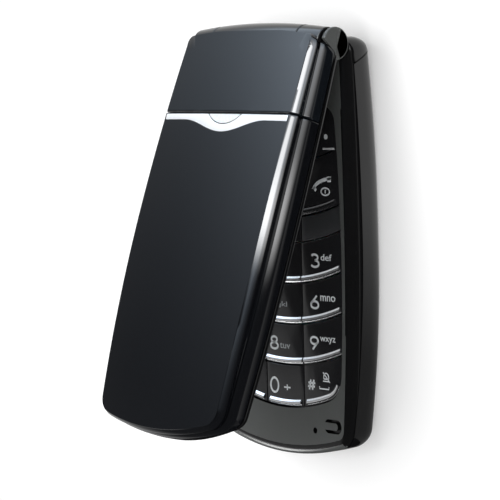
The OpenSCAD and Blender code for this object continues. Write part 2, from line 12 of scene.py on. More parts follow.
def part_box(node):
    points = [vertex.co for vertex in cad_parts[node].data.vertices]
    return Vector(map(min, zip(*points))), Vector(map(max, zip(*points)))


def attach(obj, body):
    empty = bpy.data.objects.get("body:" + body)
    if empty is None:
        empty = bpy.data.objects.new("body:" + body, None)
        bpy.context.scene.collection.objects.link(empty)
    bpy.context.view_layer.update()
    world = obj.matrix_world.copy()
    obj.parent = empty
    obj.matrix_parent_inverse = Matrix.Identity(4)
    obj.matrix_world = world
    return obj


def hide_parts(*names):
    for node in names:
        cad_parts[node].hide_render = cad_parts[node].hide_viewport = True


bl_info = {
    "name": "Folding phone",
    "version": (1, 0, 0),
    "blender": (4, 5, 0),
    "location": "View3D > Sidebar > Phone",
    "description": "Shells, keys, finishes and studio of a folding mobile phone",
    "category": "Object",
}

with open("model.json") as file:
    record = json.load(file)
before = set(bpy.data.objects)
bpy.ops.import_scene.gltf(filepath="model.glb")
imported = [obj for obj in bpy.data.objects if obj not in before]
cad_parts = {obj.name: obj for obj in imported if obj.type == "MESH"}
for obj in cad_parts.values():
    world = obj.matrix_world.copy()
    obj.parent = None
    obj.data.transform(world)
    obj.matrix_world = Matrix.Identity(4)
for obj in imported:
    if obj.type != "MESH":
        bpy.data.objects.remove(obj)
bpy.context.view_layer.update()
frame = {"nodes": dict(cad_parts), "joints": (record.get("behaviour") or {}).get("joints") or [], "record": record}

# ---------- sizes, in millimetres ----------

MM = 1000.0

# from the frame
LID_HINGE = next(j for j in frame["joints"] if j["name"] == "lid_hinge")
HINGE = Vector(LID_HINGE["pos_m"]) * MM
LID_OPEN = -math.radians(LID_HINGE["range_deg"][0])
HALF_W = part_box("rear_shell")[1].x * MM
FOOT_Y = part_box("rear_shell")[0].y * MM
KEY_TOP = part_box("soft_key_left")[1].z * MM - 0.35
FACE_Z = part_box("key_5")[1].z * MM + 0.05
NAV_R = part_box("nav_ring")[1].x * MM
NAV_Y = (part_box("nav_ring")[0].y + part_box("nav_ring")[1].y) / 2 * MM
COVER_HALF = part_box("battery_cover")[1].x * MM
COVER_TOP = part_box("battery_cover")[1].y * MM

# outlines: the sides bow in by 2.1 at the foot and 0.9 at the head over half a length
HALF_LENGTH = 43.5
FOOT_BOW = HALF_LENGTH ** 2 / (2 * 2.1)
HEAD_BOW = HALF_LENGTH ** 2 / (2 * 0.9)
FOOT_R = 66
HEAD_R = 160
LID_FOOT_Y = -43.5
HEAD_Y = 41.6
LID_HEAD_Y = 41.2

# base: back, seam and what is let into the face
BACK_CROWN = 1040.0
BACK_DIP = 0.12
PART_Z = 5.9
PART_SAG = 888.0
PAD_FLOOR = 6.4
STRAP_X = 15.2
STRAP_Y = -38.45
MIC = (9.6, -39.7)
SOUND_HOLES = (-8.5, 35.4)

# hinge; the ears' middle lies a little under the hinge line
KNUCKLE_OUT = 20.0
KNUCKLE_IN = 13.6
BARREL_HALF = 13.3
BARREL_R = 4.1
BARREL_SAG = 364
SWEEP_R = 4.75
EAR_R = 3.35
EAR_DROP = 1.06

# lid
COVER_Z = 10.65
CROWN_Z = 17.95
CROWN_LONG = 1198.0
CROWN_CROSS = 1120.0
SEAM_Y = 23.0
WAVE_Y = 21.45
WAVE_DEPTH = 2.5
WAVE_HALF = 13
LENS_Y = 28.4
LENS_R = 7.7
LENS_HALF = 4.9
DISPLAY_Y = 1.0

# keypad: a field with bowed sides, and rows on arcs
PAD_HALF = 19
PAD_FOOT_Y = -35.7
PAD_HEAD_Y = 27.2
PAD_MID_Y = -5
PAD_BOW = 330
ROW_R = 54.0
ROW_TOP = -1.6
ROW_PITCH = 8.4
STRIP_TOP = 3.7
CALL_LIP = (7.0, 17.2)
SOFT_BAR = (13.6, 17.05)
SOFT_BAR_Y = (17.8, 18.22)
COLUMN_X = 6.0
KEY_GAP = 0.35
NAV_HOLE_R = 4.3


def length(name, description, default):
    """A size in metres that the panel shows."""
    return bpy.props.FloatProperty(name=name, description=description, default=default,
                                   unit="LENGTH", subtype="DISTANCE")


class PhoneSizes(bpy.types.PropertyGroup):
    """Sizes that a user would change."""

    panel_half: length("Panel half width", "Half width of the lid's flat face", 0.02015)
    edge_round: length("Edge round", "Radius of the small rounds on key edges", 0.00012)
    seam: length("Seam", "Width of the gap between two shells", 0.00018)
    digit_height: length("Digit height", "Height of the digits on the keys", 0.0029)
    letter_height: length("Letter height", "Height of the small letters on the keys", 0.0012)
    lip_width: length("Lip width", "Width of the bright lip on a number key", 0.0013)


def linear(code):
    """sRGB hex code to a linear colour."""
    def channel(v):
        return v / 12.92 if v <= 0.04045 else ((v + 0.055) / 1.055) ** 2.4
    return tuple(channel(int(code[i:i + 2], 16) / 255) for i in (1, 3, 5)) + (1.0,)


def colour(name, description, code):
    """A colour that the panel shows."""
    return bpy.props.FloatVectorProperty(name=name, description=description, default=linear(code),
                                         subtype="COLOR", size=4, min=0, max=1)


class PhoneColours(bpy.types.PropertyGroup):
    """Colours that a user would change."""

    lacquer: colour("Lacquer", "Colour of the lid's lower cover", "#0d0e11")
    window: colour("Window", "Colour of the lid's upper panel", "#101317")
    satin: colour("Keypad face", "Colour of the satin face round the keys", "#484a49")
    keys: colour("Keys", "Colour of the key caps", "#1f1f21")
    silver: colour("Silver", "Colour of the wave and of the lips on the keys", "#f0f1f3")


def sizes():
    """The panel's sizes."""
    return bpy.context.scene.phone_sizes


def shades(name, spread):
    """A user colour, a little darker and a little lighter."""
    colour = tuple(getattr(bpy.context.scene.phone_colours, name))[:3]
    return tuple(c * (1 - spread) for c in colour) + (1.0,), tuple(c * (1 + spread) for c in colour) + (1.0,)


# ---------- colour and node helpers ----------

def add(tree, kind, inputs=None, **settings):
    """Adds a node with its settings; an input is a value, or a (node, output) pair to link from."""
    node = tree.nodes.new(kind)
    for key, value in settings.items():
        setattr(node, key, value)
    for socket, value in (inputs or {}).items():
        if isinstance(value, tuple) and isinstance(value[0], bpy.types.Node):
            tree.links.new(value[0].outputs[value[1]], node.inputs[socket])
        else:
            node.inputs[socket].default_value = value
    return node


Made = collections.namedtuple("Made", "material tree shader place")


def start_material(name, **values):
    """A material with a Principled shader, its socket values and object coordinates."""
    material = bpy.data.materials.new(name)
    material.use_nodes = True
    tree = material.node_tree
    tree.nodes.clear()
    place = add(tree, "ShaderNodeTexCoord")
    shader = add(tree, "ShaderNodeBsdfPrincipled", {k.replace("_", " "): v for k, v in values.items()})
    add(tree, "ShaderNodeOutputMaterial", {"Surface": (shader, "BSDF")})
    return Made(material, tree, shader, place)


def grain(made, spacing, depth):
    """Bump of noise with a spacing and a depth in millimetres."""
    noise = add(made.tree, "ShaderNodeTexNoise", {"Scale": MM / spacing, "Vector": (made.place, "Object")})
    bump = add(made.tree, "ShaderNodeBump",
               {"Strength": 1.0, "Distance": depth / MM, "Height": (noise, "Fac")})
    made.tree.links.new(bump.outputs["Normal"], made.shader.inputs["Normal"])


def uneven(made, spacing, low, high):
    """Lets the roughness drift between two values over a spacing in millimetres."""
    noise = add(made.tree, "ShaderNodeTexNoise",
                {"Scale": MM / spacing, "Detail": 3.0, "Vector": (made.place, "Object")})
    drift = add(made.tree, "ShaderNodeMapRange",
                {"From Min": 0.3, "From Max": 0.7, "To Min": low, "To Max": high, "Value": (noise, "Fac")})
    made.tree.links.new(drift.outputs["Result"], made.shader.inputs["Roughness"])


def mottled(made, spacing, dark, light):
    """Colour that drifts between two close tones over a spacing in millimetres."""
    noise = add(made.tree, "ShaderNodeTexNoise",
                {"Scale": MM / spacing, "Detail": 4.0, "Vector": (made.place, "Object")})
    ramp = add(made.tree, "ShaderNodeValToRGB", {"Fac": (noise, "Fac")})
    for element, position, tone in zip(ramp.color_ramp.elements, (0.35, 0.65), (dark, light)):
        element.position = position
        element.color = tone
    made.tree.links.new(ramp.outputs["Color"], made.shader.inputs["Base Color"])


# ---------- materials ----------

def black_lacquer():
    """Sprayed and polished lacquer on ABS: deep black, mirror gloss, the faintest orange peel."""
    made = start_material("black_lacquer_on_abs", Roughness=0.06, IOR=1.45)
    mottled(made, 0.25, *shades("lacquer", 0.2))
    grain(made, 3.0, 0.0006)
    return made.material


def window_acrylic():
    """Polished smoked acrylic: the same black with a cold, slightly blue depth."""
    made = start_material("smoked_acrylic_window", Roughness=0.04, IOR=1.49)
    mottled(made, 0.4, *shades("window", 0.15))
    grain(made, 6.0, 0.0004)
    return made.material


def gloss_abs():
    """Black ABS moulded in a polished tool: gloss, a little less even than lacquer."""
    made = start_material("gloss_moulded_abs", Roughness=0.12, IOR=1.45)
    mottled(made, 0.3, linear("#0a0a0b"), linear("#101011"))
    uneven(made, 4.0, 0.09, 0.15)
    grain(made, 1.6, 0.0006)
    return made.material


def satin_paint():
    """Graphite soft paint on the keypad face: silky, with a fine eggshell grain."""
    made = start_material("satin_graphite_paint", Roughness=0.42, IOR=1.45)
    mottled(made, 0.12, *shades("satin", 0.1))
    uneven(made, 2.5, 0.38, 0.48)
    grain(made, 0.14, 0.004)
    return made.material


def key_abs():
    """Black key caps under a hard clear coat: gloss top over a soft black body."""
    made = start_material("coated_key_cap", Roughness=0.2, IOR=1.45, Coat_Weight=0.4, Coat_Roughness=0.08)
    mottled(made, 0.2, *shades("keys", 0.2))
    grain(made, 0.5, 0.0008)
    return made.material


def bright_chrome():
    """Chromium plate on moulded ABS: a bright mirror, just softened by the plating."""
    made = start_material("chrome_plated_abs", Base_Color=linear("#e9eaec"), Metallic=1.0, Roughness=0.12)
    uneven(made, 1.2, 0.09, 0.17)
    grain(made, 0.8, 0.0008)
    return made.material


def satin_silver():
    """Vacuum metallised and lacquered plastic: silver with a satin break-up."""
    made = start_material("metallised_satin_silver", Metallic=0.4, Roughness=0.28)
    mottled(made, 0.2, *shades("silver", 0.05))
    grain(made, 0.25, 0.002)
    return made.material


def metallised_lip():
    """Vacuum metallised lip moulded on a key: brighter and smoother than the wave."""
    made = start_material("metallised_key_lip", Metallic=0.78, Roughness=0.18)
    mottled(made, 0.3, *shades("silver", 0.04))
    grain(made, 0.5, 0.0008)
    return made.material


def gloss_graphite():
    """The satin graphite under clear lacquer, on the roll of the foot."""
    made = start_material(
        "lacquered_graphite_paint", Roughness=0.3, IOR=1.45, Coat_Weight=0.8, Coat_Roughness=0.1)
    mottled(made, 0.12, *shades("satin", 0.1))
    return made.material


def moulded_strip():
    """Grey ABS of the two fixed strips, spark eroded: a shade paler than the keys."""
    made = start_material("spark_eroded_grey_abs", Roughness=0.3, IOR=1.45)
    mottled(made, 0.2, linear("#2d2e30"), linear("#353638"))
    grain(made, 0.2, 0.001)
    return made.material


def frosted_lens():
    """Moulded clear polycarbonate with a frosted back: pale grey, gloss front."""
    made = start_material(
        "frosted_polycarbonate", Roughness=0.1, IOR=1.58, Subsurface_Weight=0.2, Subsurface_Scale=0.0005)
    mottled(made, 0.6, linear("#dfe3e6"), linear("#eaedef"))
    return made.material


def printed_ink():
    """Screen printed pearl ink: pale, matt, a hair uneven."""
    made = start_material("screen_printed_ink", Roughness=0.5)
    mottled(made, 0.15, linear("#d5dadd"), linear("#eceff1"))
    return made.material


def painted_shade_ink():
    """The same ink made darker: painted shade of the open lid on the letters of the two left columns."""
    made = start_material("thin_printed_ink", Roughness=0.5)
    mottled(made, 0.15, linear("#9a9fa2"), linear("#b4b8ba"))
    return made.material


def soft_rubber():
    """Moulded thermoplastic rubber: dull black with a fine texture."""
    made = start_material("moulded_soft_rubber", Roughness=0.65)
    mottled(made, 0.2, linear("#161617"), linear("#1c1c1d"))
    grain(made, 0.1, 0.004)
    return made.material


def display_glass():
    """Hard coated acrylic over the display, printed black behind: a dark mirror."""
    made = start_material("hard_coated_display_window", Roughness=0.03, IOR=1.49)
    mottled(made, 0.8, linear("#08090a"), linear("#0b0c0e"))
    grain(made, 8.0, 0.0003)
    return made.material


def display_off():
    """A display that is switched off: grey green behind glass, with its fine rows of cells."""
    material, tree, shader, place = start_material(
        "unlit_display", Roughness=0.05, IOR=1.49)
    cells = add(tree, "ShaderNodeTexWave", {"Scale": MM / 1.6, "Vector": (place, "Object")})
    tone = add(tree, "ShaderNodeMixRGB", {1: linear("#1f2624"), 2: linear("#262e2c"), 0: (cells, "Fac")})
    tree.links.new(tone.outputs[0], shader.inputs["Base Color"])
    return material


def stamped_steel():
    """Tinned sheet steel: grey metal with rolling marks along it."""
    material, tree, shader, place = start_material(
        "tinned_sheet_steel", Base_Color=linear("#b9bab8"), Metallic=1.0, Roughness=0.32)
    stretch = add(tree, "ShaderNodeMapping", {"Scale": (1.0, 0.06, 1.0), "Vector": (place, "Object")})
    marks = add(tree, "ShaderNodeTexNoise", {"Scale": MM / 0.15, "Vector": (stretch, "Vector")})
    bump = add(tree, "ShaderNodeBump", {"Strength": 1.0, "Distance": 0.000004, "Height": (marks, "Fac")})
    tree.links.new(bump.outputs["Normal"], shader.inputs["Normal"])
    return material


def solder_mask():
    """Green solder mask over copper: the tracks show as lighter bands."""
    material, tree, shader, place = start_material("solder_mask_on_board", Roughness=0.3)
    tracks = add(tree, "ShaderNodeTexWave", {"Scale": MM / 2.4, "Distortion": 6.0, "Detail": 2.0,
                                             "Vector": (place, "Object")})
    tone = add(tree, "ShaderNodeMixRGB", {1: linear("#0b3b22"), 2: linear("#14573a"), 0: (tracks, "Fac")})
    tree.links.new(tone.outputs[0], shader.inputs["Base Color"])
    return material


def gold_plate():
    """Gold flashed spring contacts."""
    made = start_material("gold_flashed_contacts", Base_Color=linear("#d8b25c"), Metallic=1.0, Roughness=0.25)
    grain(made, 0.1, 0.001)
    return made.material


def battery_wrap():
    """Printed film over the battery's aluminium can: dull grey."""
    made = start_material("film_wrapped_can", Roughness=0.5)
    mottled(made, 0.5, linear("#3a3d42"), linear("#43464b"))
    return made.material


def plain_card():
    """White PVC card."""
    made = start_material("calendered_white_pvc", Roughness=0.4)
    mottled(made, 0.6, linear("#e4e4e0"), linear("#eeeeea"))
    return made.material


def silicone():
    """Moulded translucent silicone: milky, soft edged."""
    made = start_material("moulded_silicone", Roughness=0.5, Subsurface_Weight=0.4, Subsurface_Scale=0.001)
    mottled(made, 0.5, linear("#b4b8b8"), linear("#c2c6c6"))
    return made.material


def polyester_film():
    """Clear polyester over the key domes."""
    made = start_material("polyester_film", Roughness=0.2)
    mottled(made, 1.2, linear("#c8cacc"), linear("#d8dadc"))
    return made.material


def antenna_film():
    """Copper film on the antenna's carrier."""
    made = start_material("copper_film_on_carrier", Metallic=0.7, Roughness=0.35)
    mottled(made, 0.8, linear("#a37b34"), linear("#b98d43"))
    return made.material


SLOT_FINISHES = {
    "black_lacquer": black_lacquer, "window_black": window_acrylic, "shell_black": gloss_abs,
    "face_grey": satin_paint, "key_black": key_abs, "bright_trim": bright_chrome,
    "smoked_lens": frosted_lens, "screen_glass": display_glass, "steel_can": stamped_steel,
    "rubber_black": soft_rubber, "silicone": silicone, "board_green": solder_mask,
    "battery_case": battery_wrap, "contact_gold": gold_plate, "card_white": plain_card,
    "module_grey": display_off, "polyester": polyester_film, "antenna_flex": antenna_film,
}
EXTRA_FINISHES = {"ink": printed_ink, "painted_shade_ink": painted_shade_ink, "silver": satin_silver, "strip": moulded_strip,
                  "lip": metallised_lip, "roll": gloss_graphite}
FINISH = {}


def finish(name):
    """The material for a record slot or for a print, made once."""
    if name not in FINISH:
        FINISH[name] = {**SLOT_FINISHES, **EXTRA_FINISHES}[name]()
    return FINISH[name]


# ---------- mesh helpers ----------

def new_object(bm, name, scale=1 / MM):
    """Links an object that holds a bmesh, by default turned from millimetres into metres; frees the bmesh."""
    bmesh.ops.scale(bm, verts=bm.verts, vec=Vector((scale, scale, scale)))
    mesh = bpy.data.meshes.new(name)
    bm.to_mesh(mesh)
    bm.free()
    thing = bpy.data.objects.new(name, mesh)
    bpy.context.scene.collection.objects.link(thing)
    return thing


def make(bm, name, body, slots, replaces=(), sharp=32, closed=False):
    """Makes a finished piece and binds it to its body; closed says it was drawn on the closed lid."""
    if not bm.faces:
        raise RuntimeError(f"{name} came out empty")
    bmesh.ops.remove_doubles(bm, verts=bm.verts, dist=0.0005)
    if closed:
        bmesh.ops.rotate(bm, verts=bm.verts, cent=HINGE, matrix=Matrix.Rotation(-LID_OPEN, 3, "X"))
    piece = new_object(bm, name)
    for polygon in piece.data.polygons:
        polygon.use_smooth = True
    piece.data.set_sharp_from_angle(angle=math.radians(sharp))
    for slot in slots:
        piece.data.materials.append(finish(slot))
    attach(piece, body)
    if replaces:
        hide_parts(*replaces)


def ring_edges(bm, points, closed=True):
    """A run of vertices and the edges between them."""
    verts = [bm.verts.new(p) for p in points]
    pairs = list(zip(verts, verts[1:])) + ([(verts[-1], verts[0])] if closed else [])
    return [bm.edges.new(pair) for pair in pairs]


def lofted(rings, slot_of=lambda index: 0):
    """A closed bmesh over a run of closed rings, each with as many points as the next."""
    bm = bmesh.new()
    loops = [ring_edges(bm, ring) for ring in rings]
    for index, (first, second) in enumerate(zip(loops, loops[1:])):
        for face in bmesh.ops.bridge_loops(bm, edges=first + second)["faces"]:
            face.material_index = slot_of(index)
    for index, loop in ((0, loops[0]), (len(rings) - 2, loops[-1])):
        for face in bmesh.ops.contextual_create(bm, geom=loop)["faces"]:
            face.material_index = slot_of(index)
    bmesh.ops.recalc_face_normals(bm, faces=bm.faces)
    return bm


def sweep(path, profile):
    """Carries a closed profile of (inward, height) points along a path of (x, y, inward normal)."""
    return lofted([[(x + nx * s, y + ny * s, z) for s, z in profile] for x, y, nx, ny in path])


def plate(points, z0, z1):
    """A flat plate over an outline."""
    return lofted([[(x, y, z) for x, y in points] for z in (z0, z1)])


def along_x(points, x0=-30.0, x1=30.0):
    """A (y, z) outline drawn out along X."""
    return lofted([[(x, y, z) for y, z in points] for x in (x0, x1)])


def spun(points, centre, axis):
    """A run of points spun once round an axis."""
    bm = bmesh.new()
    edges = ring_edges(bm, points, closed=False)
    bmesh.ops.spin(bm, geom=bm.verts[:] + edges, cent=centre, axis=axis, angle=2 * math.pi, steps=96,
                   use_merge=True)
    bmesh.ops.remove_doubles(bm, verts=bm.verts, dist=0.001)
    bmesh.ops.recalc_face_normals(bm, faces=bm.faces)
    return bm


def block(low_corner, high_corner):
    """A box."""
    bm = bmesh.new()
    low, high = Vector(low_corner), Vector(high_corner)
    bmesh.ops.create_cube(bm, size=1.0)
    bmesh.ops.scale(bm, verts=bm.verts, vec=high - low)
    bmesh.ops.translate(bm, verts=bm.verts, vec=(low + high) / 2)
    return bm


def post(x, y, z0, z1, radius, steps=48):
    """A cylinder along Z."""
    bm = bmesh.new()
    bmesh.ops.create_cone(bm, cap_ends=True, segments=steps, radius1=radius, radius2=radius, depth=z1 - z0)
    bmesh.ops.translate(bm, verts=bm.verts, vec=(x, y, (z0 + z1) / 2))
    return bm


def rod(x0, x1, y, z, radius, steps=96):
    """A cylinder along X."""
    bm = post(0, 0, (x0 - x1) / 2, (x1 - x0) / 2, radius, steps)
    bmesh.ops.rotate(bm, verts=bm.verts, cent=(0, 0, 0), matrix=Matrix.Rotation(math.pi / 2, 3, "Y"))
    bmesh.ops.translate(bm, verts=bm.verts, vec=((x0 + x1) / 2, y, z))
    return bm


def cut(bm, tools, operation="DIFFERENCE"):
    """Boolean of a closed bmesh with each tool in turn; frees the tools."""
    for tool in tools:
        objects = [new_object(part, "working", 1.0) for part in (bm, tool)]
        modifier = objects[0].modifiers.new("cut", "BOOLEAN")
        modifier.operation = operation
        modifier.solver = "EXACT"
        modifier.object = objects[1]
        graph = bpy.context.evaluated_depsgraph_get()
        meshes = [thing.data for thing in objects]
        meshes.append(bpy.data.meshes.new_from_object(objects[0].evaluated_get(graph)))
        bm = bmesh.new()
        bm.from_mesh(meshes[-1])
        for thing in objects:
            bpy.data.objects.remove(thing)
        for mesh in meshes:
            bpy.data.meshes.remove(mesh)
    return bm


def round_edges(bm, width, steps=2, angle=40, only=lambda edge: True):
    """Rounds the edges that turn by more than an angle."""
    bmesh.ops.remove_doubles(bm, verts=bm.verts, dist=0.001)
    bmesh.ops.dissolve_limit(bm, angle_limit=math.radians(0.5), verts=bm.verts, edges=bm.edges)
    edges = [e for e in bm.edges
             if len(e.link_faces) == 2 and e.calc_face_angle() > math.radians(angle) and only(e)]
    bmesh.ops.bevel(bm, geom=edges, offset=width, segments=steps, profile=0.5, affect="EDGES",
                    material=-1, clamp_overlap=True)


def joined(parts):
    """One bmesh of several; frees them."""
    whole = bmesh.new()
    for part in parts:
        mesh = bpy.data.meshes.new("working")
        part.to_mesh(mesh)
        part.free()
        whole.from_mesh(mesh)
        bpy.data.meshes.remove(mesh)
    return whole


def cad_copy(node):
    """A merged copy of a CAD node's mesh, in millimetres."""
    bm = bmesh.new()
    bm.from_mesh(frame["nodes"][node].data)
    bmesh.ops.scale(bm, verts=bm.verts, vec=Vector((MM, MM, MM)))
    bmesh.ops.remove_doubles(bm, verts=bm.verts, dist=0.0008)
    return bm


# ---------- outlines ----------

def crossing(a, ra, b, rb, side):
    """Where two circles cross, on the left of the line from a to b for side 1."""
    a, b = Vector(a), Vector(b)
    d = (b - a).length
    t = (ra * ra - rb * rb + d * d) / (2 * d)
    h = math.sqrt(max(0.0, ra * ra - t * t))
    u = (b - a) / d
    return a + u * t + Vector((-u.y, u.x)) * side * h


def half_outline(half, mid_y, foot_bow, head_bow, foot, head):
    """Right half of an outline from the foot's middle to the head's, with inward normals.

    foot and head are (y, end radius, corner radius); the bows are the sides' radii."""
    foot_centre = Vector((0, foot[0] + foot[1]))
    head_centre = Vector((0, head[0] - head[1]))
    foot_side = Vector((half - foot_bow, mid_y))
    head_side = Vector((half - head_bow, mid_y))
    foot_corner = crossing(foot_side, foot_bow - foot[2], foot_centre, foot[1] - foot[2], -1)
    head_corner = crossing(head_side, head_bow - head[2], head_centre, head[1] - head[2], 1)
    centres = (foot_centre, foot_corner, foot_side, head_side, head_corner, head_centre)
    radii = (foot[1], foot[2], foot_bow, head_bow, head[2], head[1])
    meets = ((0, -1), foot_corner - foot_centre, foot_corner - foot_side, (1, 0),
             head_corner - head_side, head_corner - head_centre, (0, 1))
    turns = [math.atan2(y, x) for x, y in meets]
    points = []
    for centre, radius, start, end, count in zip(centres, radii, turns, turns[1:], (14, 10, 26, 26, 10, 14)):
        for i in range(count):
            a = start + (end - start) * i / count
            points.append((centre.x + radius * math.cos(a), centre.y + radius * math.sin(a),
                           -math.cos(a), -math.sin(a)))
    points.append((0, head[0], 0, -1))
    return points


def full_outline(half_points):
    """Both halves, anticlockwise from the foot's middle."""
    left = [(-x, y, -nx, ny) for x, y, nx, ny in half_points[1:-1]]
    return half_points + left[::-1]


BODY = full_outline(half_outline(HALF_W, 0, FOOT_BOW, HEAD_BOW, (FOOT_Y, FOOT_R, 4), (HEAD_Y, HEAD_R, 3)))
LID = full_outline(half_outline(HALF_W, 0, FOOT_BOW, HEAD_BOW, (LID_FOOT_Y, FOOT_R, 5),
                                (LID_HEAD_Y, HEAD_R, 3)))


def pad_half(inset):
    """Right half of the keypad field's outline, drawn in by an inset."""
    return half_outline(PAD_HALF - inset, PAD_MID_Y, PAD_BOW, PAD_BOW, (PAD_FOOT_Y + inset, 45, 6 - inset),
                        (PAD_HEAD_Y - inset, HEAD_R, 3.5 - min(inset, 2)))


def pad_points(inset):
    """The keypad field's outline without its normals."""
    return [(p[0], p[1]) for p in full_outline(pad_half(inset))]


def shaped_ring(insets, height, outline=BODY, tuck=0.0):
    """An outline drawn in by (side, foot, head) insets, with a height for each point.

    tuck draws the foot in further towards its corners."""
    side, foot, head = insets
    ring = []
    for x, y, nx, ny in outline:
        share = ny * ny
        inset = side * (1 - share) + (foot if ny > 0 else head) * share
        px, py = x + nx * inset, y + ny * inset
        if ny > 0:
            py += tuck * (x / 20) ** 2 * share
        ring.append((px, py, height(px, py)))
    return ring


def dome(ring, height, steps=10, last=0.04):
    """Rings that close a ring in to its middle over a crowned face."""
    rings = []
    mid_y = (min(p[1] for p in ring) + max(p[1] for p in ring)) / 2
    for i in range(1, steps + 1):
        s = 1 - (1 - last) * i / steps
        rings.append([(x * s, mid_y + (y - mid_y) * s, height(x * s, mid_y + (y - mid_y) * s))
                      for x, y, _ in ring])
    return rings


# ---------- base shells ----------

def back_height(x, y):
    """Height of the bowed back, flat enough in its middle to stand on."""
    return y * y / BACK_CROWN - BACK_DIP * (1 - math.exp(-(y / 12) ** 2))


def parting(y):
    """Height of the seam between the base's two shells."""
    return PART_Z + y * y / PART_SAG * (1.0 if y < 0 else 0.55)


BASE_LOWER = [
    # side inset, foot inset, head inset, height over the back
    (2.10, 1.90, 2.0, 0.00), (1.69, 1.62, 1.6, 0.10), (1.37, 1.32, 1.2, 0.32), (1.06, 0.98, 0.85, 0.68),
    (0.77, 0.62, 0.55, 1.18), (0.49, 0.30, 0.32, 1.85), (0.27, 0.08, 0.1, 2.65), (0.10, 0.0, 0.0, 3.5),
]
BASE_UPPER = [
    # side inset, foot inset, head inset, share of the way from the seam to the face
    (0.12, 0.02, 0.0, 0.20), (0.42, 0.16, 0.0, 0.45), (0.80, 0.46, 0.1, 0.66), (1.18, 0.88, 0.2, 0.82),
    (1.55, 1.38, 0.35, 0.93), (1.82, 1.85, 0.55, 0.985), (2.0, 2.3, 0.8, 1.0),
]


def base_rings():
    """Rings of the whole base from the middle of its back to the middle of its face."""
    lower = [shaped_ring(insets, lambda x, y: back_height(x, y) + lift) for *insets, lift in BASE_LOWER]
    seam = [shaped_ring((0, 0, 0), lambda x, y: parting(y))]
    upper = [shaped_ring(insets, lambda x, y: parting(y) + (FACE_Z - parting(y)) * share)
             for *insets, share in BASE_UPPER]
    back = dome(lower[0], back_height)[::-1]
    face = dome(upper[-1], lambda x, y: FACE_Z, steps=2, last=0.5)
    return back + lower + seam + upper + face


def upper_region(gap):
    """Everything over the seam, with the head end down to the back."""
    curve = [(y, parting(y) + gap) for y in range(-60, 35, 3)]
    return along_x(curve + [(35 + gap, parting(35) + gap), (39.3 + gap, -2), (60, -2), (60, 20), (-60, 20)])


def head_sweep():
    """Space that the lid sweeps at the hinge."""
    arc = [(HINGE.y + SWEEP_R * math.cos(a), HINGE.z + SWEEP_R * math.sin(a))
           for a in (math.radians(180 + 90 * i / 24) for i in range(1, 25))]
    return along_x([(HINGE.y - SWEEP_R, 12.2)] + arc + [(50, 6.0), (50, 12.2)])


class PHONE_OT_front_shell(bpy.types.Operator):
    """Keypad face and head end of the base, with the two hinge knuckles"""

    bl_idname = "phone.front_shell"
    bl_label = "Front shell"

    def execute(self, context):
        seam = sizes().seam * MM
        tools = [head_sweep(), plate(pad_points(0), PAD_FLOOR, 20), strap_slot(), post(*MIC, 5, 20, 0.62, 32)]
        bm = cut(lofted(base_rings()), [upper_region(seam / 2)], "INTERSECT")
        bm = cut(bm, tools)
        bmesh.ops.remove_doubles(bm, verts=bm.verts, dist=0.002)
        # satin on the flat face, clear lacquer on the roll of the foot, gloss on the rest
        for face in bm.faces:
            centre = face.calc_center_median()
            flat_top = centre.z > FACE_Z - 0.02
            foot_roll = centre.y < -40.5 and -face.normal.y > max(0.25, 1.3 * abs(face.normal.x))
            face.material_index = 2 if foot_roll else 0 if flat_top and centre.y < 35.7 else 1
        make(bm, "front_shell_skin", "base", ("face_grey", "shell_black", "roll"), ("front_shell",))
        for side in (-1, 1):
            near, far = sorted((side * KNUCKLE_IN, side * KNUCKLE_OUT))
            neck = block((near, 37.0, 6.6), (far, 39.2, 9.6))
            round_edges(neck, 0.2, 2, 60)
            name = "hinge_knuckle_right" if side > 0 else "hinge_knuckle_left"
            make(joined([spindle(near, far), neck]), name, "base", ("shell_black",))
        return {"FINISHED"}


def barrel_radius(x):
    """The hinge barrel is a little fuller in its middle."""
    return BARREL_R - x * x / BARREL_SAG


def spindle(x0, x1, grow=0.0, chamfer=0.14):
    """A length of the hinge barrel, spun round the hinge line."""
    inner = [x0 + chamfer + (x1 - x0 - 2 * chamfer) * i / 12 for i in range(13)]
    profile = [(x0, 0), (x0, barrel_radius(x0) + grow - chamfer)]
    profile += [(x, barrel_radius(x) + grow) for x in inner]
    profile += [(x1, barrel_radius(x1) + grow - chamfer), (x1, 0)]
    return spun([(x, HINGE.y + r, HINGE.z) for x, r in profile], HINGE, (1, 0, 0))


def rounded_plan(x, y, w, l, r, steps=8):
    """Outline of a rectangle with round corners."""
    points = []
    for cx, cy, start in ((1, 1, 0), (-1, 1, 90), (-1, -1, 180), (1, -1, 270)):
        for i in range(steps + 1):
            a = math.radians(start + 90 * i / steps)
            points.append((x + cx * (w / 2 - r) + r * math.cos(a), y + cy * (l / 2 - r) + r * math.sin(a)))
    return points


def strap_slot():
    """Groove round the strap post, open to the left."""
    groove = plate(rounded_plan(STRAP_X, STRAP_Y, 5.2, 2.9, 1.3), FACE_Z - 0.9, FACE_Z + 3)
    tongue = plate(rounded_plan(STRAP_X - 0.9, STRAP_Y, 4.7, 1.5, 0.7), FACE_Z - 2, FACE_Z + 4)
    return cut(groove, [tongue])


